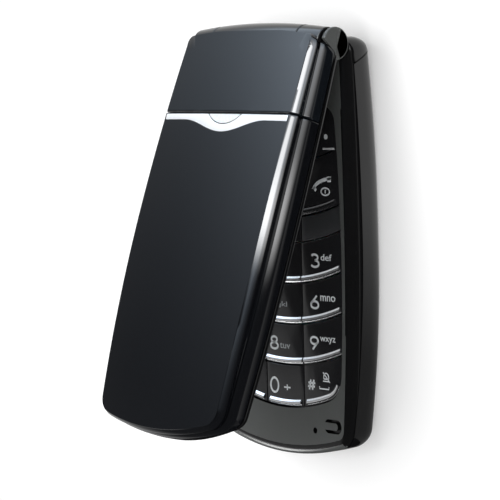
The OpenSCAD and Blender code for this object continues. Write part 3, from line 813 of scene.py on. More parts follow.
class PHONE_OT_rear_shell(bpy.types.Operator):
    """Rear shell of the base and the battery cover let into it"""

    bl_idname = "phone.rear_shell"
    bl_label = "Rear shell"

    def execute(self, context):
        seam = sizes().seam * MM
        recess = block((-COVER_HALF - 0.15, -60, -1), (COVER_HALF + 0.15, COVER_TOP + 0.15, 1.15))
        connector_mouth = block((-30, -3.9, 2.6), (-20.6, 7.9, 5.35))
        volume_mouth = block((-30, 14.9, 3.1), (-20.6, 29.1, 6.1))
        x, y = SOUND_HOLES
        ring = [(x + 2.4 * math.cos(a), y + 1.92 * math.sin(a)) for a in (math.pi / 3 * i for i in range(6))]
        holes = [post(*spot, -1, 2.6, 0.5, 24) for spot in [SOUND_HOLES] + ring]
        tools = [upper_region(-seam / 2), recess, connector_mouth, volume_mouth] + holes
        shell = cut(lofted(base_rings()), tools)
        make(shell, "rear_shell_skin", "base", ("shell_black",), ("rear_shell",))
        patch = block((-COVER_HALF, -60, -1), (COVER_HALF, COVER_TOP, 1.1))
        cover = cut(lofted(base_rings()), [patch], "INTERSECT")
        grips = [block((-5, 20 + i * 1.6, -1), (5, 20.7 + i * 1.6, 0.45 + 0.04 * i)) for i in range(4)]
        cover = cut(cover, grips)
        make(cover, "battery_cover_skin", "battery_cover", ("shell_black",), ("battery_cover",))
        return {"FINISHED"}


# ---------- keypad ----------

NUMBER_KEYS = ["key_1", "key_2", "key_3", "key_4", "key_5", "key_6", "key_7", "key_8", "key_9",
               "key_star", "key_0", "key_hash"]
FUNCTION_KEYS = ["soft_key_left", "soft_key_right", "send_key", "end_key", "clear_key"]


def row_line(foot_y, x, lift=0.0):
    """Height in plan of a row line at x."""
    return foot_y + ROW_R - math.sqrt((ROW_R - lift) ** 2 - x * x)


def row_path(foot_y, x0, x1, lift, steps=14):
    """Path along a row line, with its inward normals."""
    path = []
    for i in range(steps + 1):
        x = x0 + (x1 - x0) * i / steps
        y = row_line(foot_y, x, lift)
        slope = x / (ROW_R - lift)
        path.append((x, y, -slope, math.sqrt(1 - slope * slope)))
    return path


def lip_profile(width):
    """Section of a bright lip: a thin step at its foot, then a bar that slopes to the head."""
    top = FACE_Z - 0.02
    foot = KEY_TOP - 0.5
    return [(0.02, foot), (0.02, top - 0.42), (0.07, top - 0.36), (0.26, top - 0.35), (0.30, top - 0.31),
            (0.32, top - 0.12), (0.38, top - 0.03), (0.48, top), (0.80, top - 0.02), (0.90, top - 0.07),
            (width - 0.06, top - 0.29), (width - 0.02, top - 0.33), (width, top - 0.4), (width, foot)]


def colour_lip(lip):
    """Gives the bar its bright slot; the faces that look towards the foot keep the key's black, as painted shade
    on the lip's foot side.
    """
    lip.normal_update()
    for face in lip.faces:
        # faces turned towards the foot get the key's black: painted shade
        face.material_index = int(face.normal.y > -0.25 and face.normal.z > 0.1)


def key_cap(node):
    """A key's cap: the CAD key without its lip, with rounded top edges."""
    bm = cad_copy(node)
    bmesh.ops.bisect_plane(bm, geom=bm.verts[:] + bm.edges[:] + bm.faces[:], dist=0.0005,
                           plane_co=(0, 0, KEY_TOP - 0.01), plane_no=(0, 0, 1), clear_outer=True)
    bmesh.ops.holes_fill(bm, edges=[e for e in bm.edges if e.is_boundary], sides=0)
    round_edges(bm, sizes().edge_round * MM, 3, 50, lambda e: min(v.co.z for v in e.verts) > KEY_TOP - 0.05)
    return bm


def foot_path(x0, x1):
    """Path along the foot of the keypad field between two x."""
    return [p for p in pad_half(0.34) if x0 <= p[0] <= x1 and p[1] < -29.6]


class PHONE_OT_number_keys(bpy.types.Operator):
    """Twelve number keys with their bright lips"""

    bl_idname = "phone.number_keys"
    bl_label = "Number keys"

    def execute(self, context):
        for index, node in enumerate(NUMBER_KEYS):
            row, column = index // 3, index % 3 - 1
            inner = COLUMN_X + KEY_GAP / 2 + 0.05
            middle = inner - KEY_GAP - 0.1
            outer = 18.15 - 0.06 * row
            if row < 3:
                x0, x1 = ((-outer, -inner), (-middle, middle), (inner, outer))[column + 1]
                path = row_path(ROW_TOP - (row + 1) * ROW_PITCH, x0, x1, KEY_GAP / 2)
            elif column == 0:
                half = foot_path(0, middle)
                path = [(-x, y, -nx, ny) for x, y, nx, ny in half[:0:-1]] + half
            else:
                path = [(column * x, y, column * nx, ny) for x, y, nx, ny in foot_path(inner, outer)]
            lip = sweep(path, lip_profile(sizes().lip_width * MM))
            colour_lip(lip)
            make(joined([key_cap(node), lip]), node + "_cap", node, ("key_black", "lip"), (node,), 40)
        return {"FINISHED"}


class PHONE_OT_function_keys(bpy.types.Operator):
    """Soft keys, call keys and clear key round the navigation ring"""

    bl_idname = "phone.function_keys"
    bl_label = "Function keys"

    def execute(self, context):
        for node in FUNCTION_KEYS:
            side = -1 if node in ("soft_key_left", "send_key") else 1
            slots = ("key_black", "silver") if "soft" in node else ("key_black", "key_black")
            parts = [key_cap(node)]
            if "soft" in node:
                near, far = sorted(side * x for x in SOFT_BAR)
                low, high = SOFT_BAR_Y
                parts.append(block((near, low, KEY_TOP - 0.3), (far, high, KEY_TOP + 0.12)))
                round_edges(parts[1], 0.08, 2, 50)
            elif node != "clear_key":
                near, far = sorted(side * x for x in CALL_LIP)
                path = row_path(STRIP_TOP, near, far, KEY_GAP / 2)
                parts.append(sweep(path, lip_profile(sizes().lip_width * MM)))
            for part in parts[1:]:
                for face in part.faces:
                    face.material_index = 1
            make(joined(parts), node + "_cap", node, slots, (node,), 40)
        return {"FINISHED"}


class PHONE_OT_navigation(bpy.types.Operator):
    """Navigation ring with four marks and the centre key"""

    bl_idname = "phone.navigation"
    bl_label = "Navigation keys"

    def execute(self, context):
        inner = NAV_HOLE_R
        z0, top = (corner.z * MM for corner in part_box("nav_ring"))
        ring = [(inner, z0), (NAV_R, z0), (NAV_R, top - 0.55), (NAV_R - 0.15, top - 0.4),
                (NAV_R - 0.6, top - 0.08), (NAV_R - 0.9, top), (inner + 0.55, top - 0.12),
                (inner + 0.15, top - 0.3), (inner, top - 0.5), (inner, z0)]
        ring = spun([(r, NAV_Y, z) for r, z in ring], (0, NAV_Y, 0), (0, 0, 1))
        for face in ring.faces:
            r = (face.calc_center_median().xy - Vector((0, NAV_Y))).length
            face.material_index = int(NAV_R - 0.62 < r < NAV_R - 0.1 and face.normal.z > 0.3)
        make(ring, "nav_ring_cap", "nav_ring", ("key_black", "bright_trim"), ("nav_ring",), 30)
        marks = []
        r = (NAV_R + inner) / 2
        for a in (math.pi / 2 * i for i in range(4)):
            tip = [(p * math.cos(a) - q * math.sin(a), NAV_Y + p * math.sin(a) + q * math.cos(a))
                   for p, q in ((r + 0.55, 0), (r - 0.3, 0.7), (r - 0.3, -0.7))]
            marks.append(plate(tip, top - 0.3, top + 0.012))
        make(joined(marks), "nav_ring_marks", "nav_ring", ("ink",))
        low, high = (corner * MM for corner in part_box("nav_centre_key"))
        r, top = high.x, high.z
        centre = [(0, low.z), (r, low.z), (r, top - 0.4), (r - 0.15, top - 0.18), (r - 0.45, top - 0.03),
                  (r - 0.9, top), (1.6, top - 0.1), (0, top - 0.14)]
        centre = spun([(r, NAV_Y, z) for r, z in centre], (0, NAV_Y, 0), (0, 0, 1))
        make(centre, "nav_centre_cap", "nav_centre_key", ("bright_trim",), ("nav_centre_key",), 30)
        return {"FINISHED"}


class PHONE_OT_dividers(bpy.types.Operator):
    """Fixed strips between the number keys and the call keys"""

    bl_idname = "phone.dividers"
    bl_label = "Fixed strips"

    def execute(self, context):
        bm = cad_copy("keypad_dividers")
        round_edges(bm, sizes().edge_round * MM, 3, 50,
                    lambda e: min(v.co.z for v in e.verts) > KEY_TOP - 0.3)
        make(bm, "keypad_strips", "base", ("strip",), ("keypad_dividers",), 40)
        return {"FINISHED"}


# ---------- printing on the keys ----------

def arc_points(cx, cy, rx, ry, start, end, steps=20):
    """Points along an ellipse, between two angles in degrees."""
    return [(cx + rx * math.cos(math.radians(start + (end - start) * i / steps)),
             cy + ry * math.sin(math.radians(start + (end - start) * i / steps))) for i in range(steps + 1)]


# each mark is a list of strokes on a square one unit high, drawn from plain arcs and lines
STROKES = {
    "0": [arc_points(0.3, 0.5, 0.27, 0.47, 90, 450, 32)],
    "1": [[(0.12, 0.76), (0.36, 0.97), (0.36, 0.02)]],
    "2": [arc_points(0.3, 0.7, 0.25, 0.26, 165, -40) + [(0.05, 0.03), (0.58, 0.03)]],
    "3": [arc_points(0.26, 0.74, 0.22, 0.22, 150, -90) + arc_points(0.27, 0.27, 0.27, 0.25, 90, -150)],
    "4": [[(0.44, 0.02), (0.44, 0.96), (0.03, 0.28), (0.6, 0.28)]],
    "5": [[(0.52, 0.96), (0.17, 0.96), (0.1, 0.56)] + arc_points(0.27, 0.31, 0.26, 0.28, 115, -150)],
    "6": [arc_points(0.3, 0.29, 0.26, 0.27, 0, 360, 28), [(0.07, 0.4), (0.46, 0.98)]],
    "7": [[(0.04, 0.95), (0.56, 0.95), (0.2, 0.02)]],
    "8": [arc_points(0.3, 0.74, 0.2, 0.22, -90, 270, 26), arc_points(0.3, 0.27, 0.26, 0.25, 90, 450, 28)],
    "9": [arc_points(0.3, 0.7, 0.26, 0.27, 0, 360, 28), [(0.53, 0.59), (0.18, 0.02)]],
    "*": [[(0.3, 0.35), (0.3, 0.85)], [(0.08, 0.48), (0.52, 0.72)], [(0.08, 0.72), (0.52, 0.48)]],
    "#": [[(0.16, 0.1), (0.3, 0.9)], [(0.4, 0.1), (0.54, 0.9)], [(0.06, 0.36), (0.6, 0.36)],
          [(0.1, 0.64), (0.64, 0.64)]],
    "+": [[(0.3, 0.2), (0.3, 0.76)], [(0.02, 0.48), (0.58, 0.48)]],
    "space": [[(0.0, 0.22), (0.0, 0.04), (0.62, 0.04), (0.62, 0.22)]],
    "mute": [arc_points(0.3, 0.42, 0.2, 0.34, 200, -20) + [(0.1, 0.3)], [(0.04, 0.12), (0.56, 0.12)],
             [(0.05, 0.8), (0.6, 0.05)]],
    "handset": [arc_points(0.75, 0.02, 0.78, 0.78, 172, 98, 18)],
    "earpiece": [[(0.0, 0.1), (0.06, 0.26)], [(0.58, 0.74), (0.74, 0.76)]],
    "power": [arc_points(0.3, 0.4, 0.3, 0.3, 0, 360, 28), [(0.3, 0.26), (0.3, 0.56)]],
}


def stroke(points, width, z):
    """A flat printed line with rounded shoulders along points."""
    path = []
    for i, (x, y) in enumerate(points):
        ax, ay = points[max(0, i - 1)]
        bx, by = points[min(len(points) - 1, i + 1)]
        if i == 0 and (x, y) == points[-1]:
            ax, ay = points[-2]
        if i == len(points) - 1 and (x, y) == points[0]:
            bx, by = points[1]
        direction = Vector((bx - ax, by - ay)).normalized()
        path.append((x, y, -direction.y, direction.x))
    h = width / 2
    return sweep(path, [(-h, z - 0.03), (-h, z + 0.008), (-h * 0.7, z + 0.014), (h * 0.7, z + 0.014),
                        (h, z + 0.008), (h, z - 0.03)])


def mark(name, x, y, width, height, weight):
    """The strokes of one mark on a key top, in the box with its lower left corner at x, y."""
    wide = max(px for points in STROKES[name] for px, _ in points)
    return [stroke([(x + px / wide * width, y + py * height) for px, py in points], weight, KEY_TOP)
            for points in STROKES[name]]


def letters(text, x, y, width, height):
    """Small letters as a flat mesh that fills a box on a key top."""
    curve = bpy.data.curves.new("letters", "FONT")
    curve.body = text
    curve.size = 2.0
    curve.extrude = 0.015
    curve.offset = 0.012
    holder = bpy.data.objects.new("letters", curve)
    bpy.context.scene.collection.objects.link(holder)
    mesh = bpy.data.meshes.new_from_object(holder.evaluated_get(bpy.context.evaluated_depsgraph_get()))
    bm = bmesh.new()
    bm.from_mesh(mesh)
    low = Vector(min(v.co[i] for v in bm.verts) for i in range(3))
    high = Vector(max(v.co[i] for v in bm.verts) for i in range(3))
    bmesh.ops.translate(bm, verts=bm.verts, vec=(-low.x, -low.y, 0))
    bmesh.ops.scale(bm, verts=bm.verts, vec=(width / (high.x - low.x), height / (high.y - low.y), 1))
    bmesh.ops.translate(bm, verts=bm.verts, vec=(x, y, KEY_TOP))
    bpy.data.objects.remove(holder)
    bpy.data.curves.remove(curve)
    bpy.data.meshes.remove(mesh)
    return bm


# digit: (its letters, their width)
LETTER_GROUPS = {2: ("abc", 3.1), 3: ("def", 3.4), 4: ("ghi", 2.9), 5: ("jkl", 2.6), 6: ("mno", 4.6),
                 7: ("pqrs", 4.3), 8: ("tuv", 3.3), 9: ("wxyz", 4.8)}
TALL_GROUPS = (2, 3, 4, 5, 7, 9)
SIGNS = {
    # node: (mark, left, low, width, height, line weight)
    "key_star": [("*", -15.4, -30.6, 2.6, 2.6, 0.42)],
    "key_0": [("0", -4.95, -32.95, 2.6, 3.2, 0.46), ("+", -0.6, -32.6, 2.1, 2.1, 0.34)],
    "key_hash": [("#", 6.95, -31.7, 2.5, 2.6, 0.4), ("space", 10.8, -31.1, 2.9, 2.6, 0.26),
                 ("mute", 11.8, -29.7, 2.3, 2.6, 0.24)],
    "end_key": [("handset", 10.5, 9.2, 5.3, 3.5, 0.72), ("earpiece", 10.5, 9.2, 5.3, 3.5, 1.1),
                ("power", 12.7, 8.3, 2.6, 2.5, 0.3)],
    "send_key": [("handset", -16.0, 9.2, 5.3, 3.5, 0.72), ("earpiece", -16.0, 9.2, 5.3, 3.5, 1.1)],
}


class PHONE_OT_key_prints(bpy.types.Operator):
    """Digits, letter groups and plain signs printed on the keys"""

    bl_idname = "phone.key_prints"
    bl_label = "Key prints"

    def execute(self, context):
        digit = sizes().digit_height * MM
        small = sizes().letter_height * MM
        for number in range(1, 10):
            node = f"key_{number}"
            row, column = (number - 1) // 3, (number - 1) % 3 - 1
            x = {-1: -16.2 + 0.2 * row, 0: -4.9, 1: 8.75 - 0.4 * row}[column]
            y = row_line(ROW_TOP - (row + 1) * ROW_PITCH, x + 1.4) + 2.75
            wide = digit * (0.55 if number == 1 else 0.86)
            parts = mark(str(number), x + 0.2, y + 0.1, wide, digit - 0.2, 0.46)
            if number in LETTER_GROUPS:
                height = small * (1.12 if number in TALL_GROUPS else 0.95)
                lift = digit - height if column == 1 else 0.4
                text, wide = LETTER_GROUPS[number]
                group = letters(text, x + digit + 0.45, y + lift, wide, height)
                # the letters of the two left columns take the darker ink, as painted shade of the open lid
                for face in group.faces:
                    face.material_index = int(column < 1)
                parts.append(group)
            make(joined(parts), node + "_print", node, ("ink", "painted_shade_ink"), (), 60)
        for node, signs in SIGNS.items():
            strokes = [part for sign in signs for part in mark(*sign)]
            make(joined(strokes), node + "_print", node, ("ink",), (), 60)
        for side, node in ((-1, "soft_key_left"), (1, "soft_key_right")):
            dot = post(side * 14.55, 20.4, KEY_TOP - 0.03, KEY_TOP + 0.012, 0.55, 32)
            make(dot, node + "_print", node, ("ink",), (), 60)
        make(letters("C", -0.8, 2.4, 1.7, 1.9), "clear_key_print", "clear_key", ("ink",), (), 60)
        return {"FINISHED"}


# ---------- lid ----------

def crown(x, y):
    """Height of the lid's outer face, lid closed."""
    return CROWN_Z - x * x / CROWN_CROSS - y * y / CROWN_LONG


COVER_SIDE = [
    # side, foot and head insets, height, share of the crown's fall that it follows
    (0.22, 0.22, 0.02, 10.70, 0.0), (0.06, 0.06, 0.0, 10.85, 0.0), (0.0, 0.0, 0.0, 11.5, 0.0),
    (0.0, 0.0, 0.0, 12.45, 0.1), (0.02, 0.02, 0.0, 12.78, 0.1), (0.08, 0.07, 0.0, 13.11, 0.15),
    (0.17, 0.14, 0.0, 13.43, 0.2), (0.29, 0.22, 0.0, 13.74, 0.25), (0.45, 0.32, 0.0, 14.03, 0.3),
    (0.63, 0.44, 0.0, 14.31, 0.35), (0.83, 0.58, 0.0, 14.57, 0.35), (1.12, 0.72, 0.0, 14.50, 0.35),
    (1.15, 0.74, 0.0, 15.0, 0.6), (1.00, 0.64, 0.0, 15.4, 0.75), (0.72, 0.44, 0.0, 16.10, 0.95),
    (0.60, 0.34, 0.0, 16.28, 1.0), (0.62, 0.35, 0.0, 16.38, 1.0), (0.80, 0.44, 0.0, 16.60, 1.0),
    (1.10, 0.58, 0.02, 16.92, 1.0), (1.45, 0.78, 0.06, 17.24, 1.0), (1.74, 0.96, 0.12, 17.48, 1.0),
]


def foot_tuck(z):
    """How far the lid's foot draws in at its corners, most at its inside."""
    return max(0.0, 13.0 - z) * 0.5


def cover_rings():
    """Rings of the lid's outer covers, from the middle of the inside to the middle of the face."""
    edge_fall = crown(20, 0)
    rings = [shaped_ring(insets, lambda x, y: z + follow * (crown(20, y) - edge_fall), LID, foot_tuck(z))
             for *insets, z, follow in COVER_SIDE]
    panel = half_outline(sizes().panel_half * MM, 0, HALF_LENGTH ** 2 / 3.6, HALF_LENGTH ** 2 / 1.5,
                         (LID_FOOT_Y + 1.0, FOOT_R, 3.6), (LID_HEAD_Y - 0.22, HEAD_R, 2.0))
    edge = [(x, y, crown(x, y)) for x, y, _, _ in full_outline(panel)]
    inner = shaped_ring((1.6, 1.6, 1.6), lambda x, y: 10.70, LID, foot_tuck(10.7))
    roof = [(x, y, crown(x, y) - 1.3) for x, y, _ in inner]
    hollow = dome(roof, lambda x, y: crown(x, y) - 1.3, 6)[::-1]
    return hollow + [roof, inner] + rings + [edge] + dome(edge, crown, 14)


def half_of(bm, y, keep_head, rim_round=0.24):
    """Keeps the part of the covers on one side of a plane across them, rounds its rim and closes it."""
    way = -1 if keep_head else 1
    for depth in (0.0, 0.2, 0.5, 1.0, 2.0):
        bmesh.ops.bisect_plane(bm, geom=bm.verts[:] + bm.edges[:] + bm.faces[:], dist=0.0005,
                               plane_co=(0, y - way * depth * rim_round, 0), plane_no=(0, way, 0),
                               clear_outer=depth == 0.0)
    bm.normal_update()
    moves = []
    for vert in bm.verts:
        inward = rim_round - way * (y - vert.co.y)
        outside = vert.co.z > crown(vert.co.x, y) - 0.9 or abs(vert.co.x) > 20.3
        if inward > 0.001 and outside:
            drop = rim_round - math.sqrt(rim_round ** 2 - min(inward, rim_round) ** 2)
            moves.append((vert, Vector((vert.normal.x, 0, vert.normal.z)) * drop))
    for vert, move in moves:
        vert.co -= move
    rim = [e for e in bm.edges if e.is_boundary]
    bmesh.ops.triangle_fill(bm, edges=rim, use_beauty=True, normal=(0, way, 0))
    bmesh.ops.recalc_face_normals(bm, faces=bm.faces)
    return bm


def lid_head(z):
    """The lid's head end slants back towards its inside."""
    return LID_HEAD_Y - max(0.0, 17.5 - z) * 0.525


def beyond_head(gap):
    """Everything past the lid's slanted head end."""
    return along_x([(lid_head(5) + gap, 5), (60, 5), (60, 17.5), (LID_HEAD_Y + gap + 0.2, 17.5),
                    (lid_head(16.9) + gap, 16.9)])


def hinge_room(gap):
    """Room in the lid round the knuckles and the barrel, and past its slanted end."""
    ends = KNUCKLE_OUT + 0.3
    return [spindle(-ends, ends, gap, 0.01), block((-ends, HINGE.y, 5), (ends, 60, HINGE.z)), beyond_head(0)]


def hinge_ear(side):
    """Round ear that caps a knuckle, flush with the lid's side and its slanted end."""
    near, far = sorted((side * (KNUCKLE_OUT + 0.3), side * (KNUCKLE_OUT + 1.2)))
    parts = []
    for keep in (beyond_head(0.14), block((-30, 30, 5), (30, 50, COVER_Z - 0.1))):
        ear = rod(near, far, HINGE.y, HINGE.z - EAR_DROP, EAR_R)
        round_edges(ear, 0.3, 4, 60)
        parts.append(cut(ear, [keep], "INTERSECT"))
    ear = joined(parts)
    for face in ear.faces:
        face.material_index = 1
    return ear


class PHONE_OT_lid_covers(bpy.types.Operator):
    """Lower lacquered cover and upper window panel of the lid"""

    bl_idname = "phone.lid_covers"
    bl_label = "Lid covers"

    def execute(self, context):
        seam = sizes().seam * MM
        lower = half_of(lofted(cover_rings()), SEAM_Y - seam / 2, False)
        make(lower, "lid_lower_skin", "lid", ("black_lacquer",), ("lid_lower_cover",), 28, True)
        upper = half_of(lofted(cover_rings()), SEAM_Y + seam / 2, True)
        upper = cut(upper, hinge_room(0.2))
        make(upper, "lid_upper_skin", "lid", ("window_black",), ("lid_upper_cover",), 28, True)
        return {"FINISHED"}


def wave(x):
    """Lower edge of the bright wave."""
    return WAVE_Y - (WAVE_DEPTH * math.cos(math.pi / 2 * x / WAVE_HALF) ** 2 if abs(x) < WAVE_HALF else 0.0)


def lens_edge(x):
    """Lower edge of the signal lens."""
    return LENS_Y - math.sqrt(LENS_R ** 2 - x * x)


def crowned_strip(upper_edge, lower_edge, x0, x1, lift, steps=60, rows=4):
    """A thin bright strip lying on the crowned face between two edge curves."""
    rings = []
    for i in range(steps + 1):
        x = x0 + (x1 - x0) * i / steps
        top, low = upper_edge(x), lower_edge(x)
        section = [(low, -0.3)]
        section += [(low + (top - low) * j / rows, lift * (0.35 if j in (0, rows) else 1.0))
                    for j in range(rows + 1)]
        section.append((top, -0.3))
        rings.append([(x, y, crown(x, y) + up) for y, up in section])
    return lofted(rings)


class PHONE_OT_lid_trim(bpy.types.Operator):
    """Bright wave under the seam and the signal lens in its middle"""

    bl_idname = "phone.lid_trim"
    bl_label = "Lid trim and lens"

    def execute(self, context):
        top = SEAM_Y - 0.35
        edge = sizes().panel_half * MM - 0.6

        def upper(x):
            return min(top, lens_edge(x) - 0.2) if abs(x) < 5.3 else top

        strip = crowned_strip(upper, wave, -edge, edge, 0.05, 120)
        make(strip, "bright_wave", "lid", ("silver",), ("lid_trim",), 60, True)
        lens = crowned_strip(lambda x: top, lambda x: min(lens_edge(x), top - 0.02), -LENS_HALF, LENS_HALF,
                             0.07, 40)
        make(lens, "signal_light", "lid", ("smoked_lens",), ("signal_lens",), 60, True)
        return {"FINISHED"}


FRAME_SIDE = [
    # side, foot and head insets, height
    (0.75, 0.75, 0.75, 9.35), (0.48, 0.48, 0.48, 9.40), (0.28, 0.28, 0.28, 9.56), (0.18, 0.18, 0.18, 9.82),
    (0.12, 0.12, 0.12, 10.3), (0.16, 0.16, 0.16, 10.52), (0.40, 0.40, 0.40, 10.56),
]


class PHONE_OT_lid_frame(bpy.types.Operator):
    """Inner frame of the lid with the hinge barrel, round the display window"""

    bl_idname = "phone.lid_frame"
    bl_label = "Lid inner frame"

    def execute(self, context):
        rim = [shaped_ring(insets, lambda x, y: z, LID, foot_tuck(z)) for *insets, z in FRAME_SIDE]
        tools = [plate(rounded_plan(0, DISPLAY_Y, 36.4, 48.4, 2), 8, 10.2),
                 plate(rounded_plan(0, 33, 8, 1.5, 0.7), 8, 10.2)]
        tools += [post(x, -37.2, 8, 9.95, 1.6) for x in (-15.9, 15.9)]
        frame_plate = cut(lofted(rim), tools + hinge_room(0.25))
        make(frame_plate, "lid_frame_skin", "lid", ("shell_black",), ("lid_inner_frame",), 32, True)
        web = block((-BARREL_HALF, 34.9, 10.4), (BARREL_HALF, 38.2, 14.2))
        make(joined([spindle(-BARREL_HALF, BARREL_HALF), web, hinge_ear(-1), hinge_ear(1)]), "hinge_barrel",
             "lid", ("shell_black", "face_grey"), (), 32, True)
        return {"FINISHED"}


class PHONE_OT_display(bpy.types.Operator):
    """Display window with its black border"""

    bl_idname = "phone.display"
    bl_label = "Display window"

    def execute(self, context):
        outer = rounded_plan(0, DISPLAY_Y, 36.2, 48.2, 1.9)
        soft = rounded_plan(0, DISPLAY_Y, 35.7, 47.7, 1.7)
        screen = rounded_plan(0, DISPLAY_Y + 1.2, 28.8, 36, 0.3)
        lit = rounded_plan(0, DISPLAY_Y + 1.2, 28.8 * 0.985, 36 * 0.985, 0.3 * 0.985)
        levels = ((outer, 10.15), (outer, 9.6), (soft, 9.45), (screen, 9.45), (lit, 9.452))
        pane = lofted([[(x, y, z) for x, y in outline] for outline, z in levels], lambda i: int(i == 3))
        make(pane, "display_pane", "lid", ("screen_glass", "module_grey"), ("display_window",), 25, True)
        return {"FINISHED"}


# ---------- small parts ----------

# CAD node: (how far its edges are rounded, its finish)
SOFTENED = {
    "volume_key": (0.25, "key_black"), "connector_flap": (0.12, "rubber_black"),
    "lid_bumpers": (0.12, "rubber_black"), "lid_screws": (0.06, "steel_can"),
    "shell_screws": (0.06, "steel_can"), "earpiece_mesh": (0.05, "steel_can"),
    "hinge_cartridge": (0.15, "steel_can"), "hinge_bush": (0.1, "steel_can"),
    "battery": (0.35, "battery_case"), "sim_card": (0.06, "card_white"),
}


class PHONE_OT_small_parts(bpy.types.Operator):
    """Small parts with softened edges, and finishes for every sealed part"""

    bl_idname = "phone.small_parts"
    bl_label = "Small parts"

    def execute(self, context):
        bodies = {n: b for b, nodes in frame["record"]["behaviour"]["bodies"].items() for n in nodes}
        slots = {s["node"]: s["material_slot"] for s in frame["record"]["subparts"]}
        for node, (width, slot) in SOFTENED.items():
            bm = cad_copy(node)
            round_edges(bm, width, 2, 50)
            make(bm, node + "_soft", bodies[node], (slot,), (node,), 35)
        for node, thing in frame["nodes"].items():
            thing.data.materials.clear()
            thing.data.materials.append(finish(slots[node]))
        return {"FINISHED"}


# ---------- studio ----------

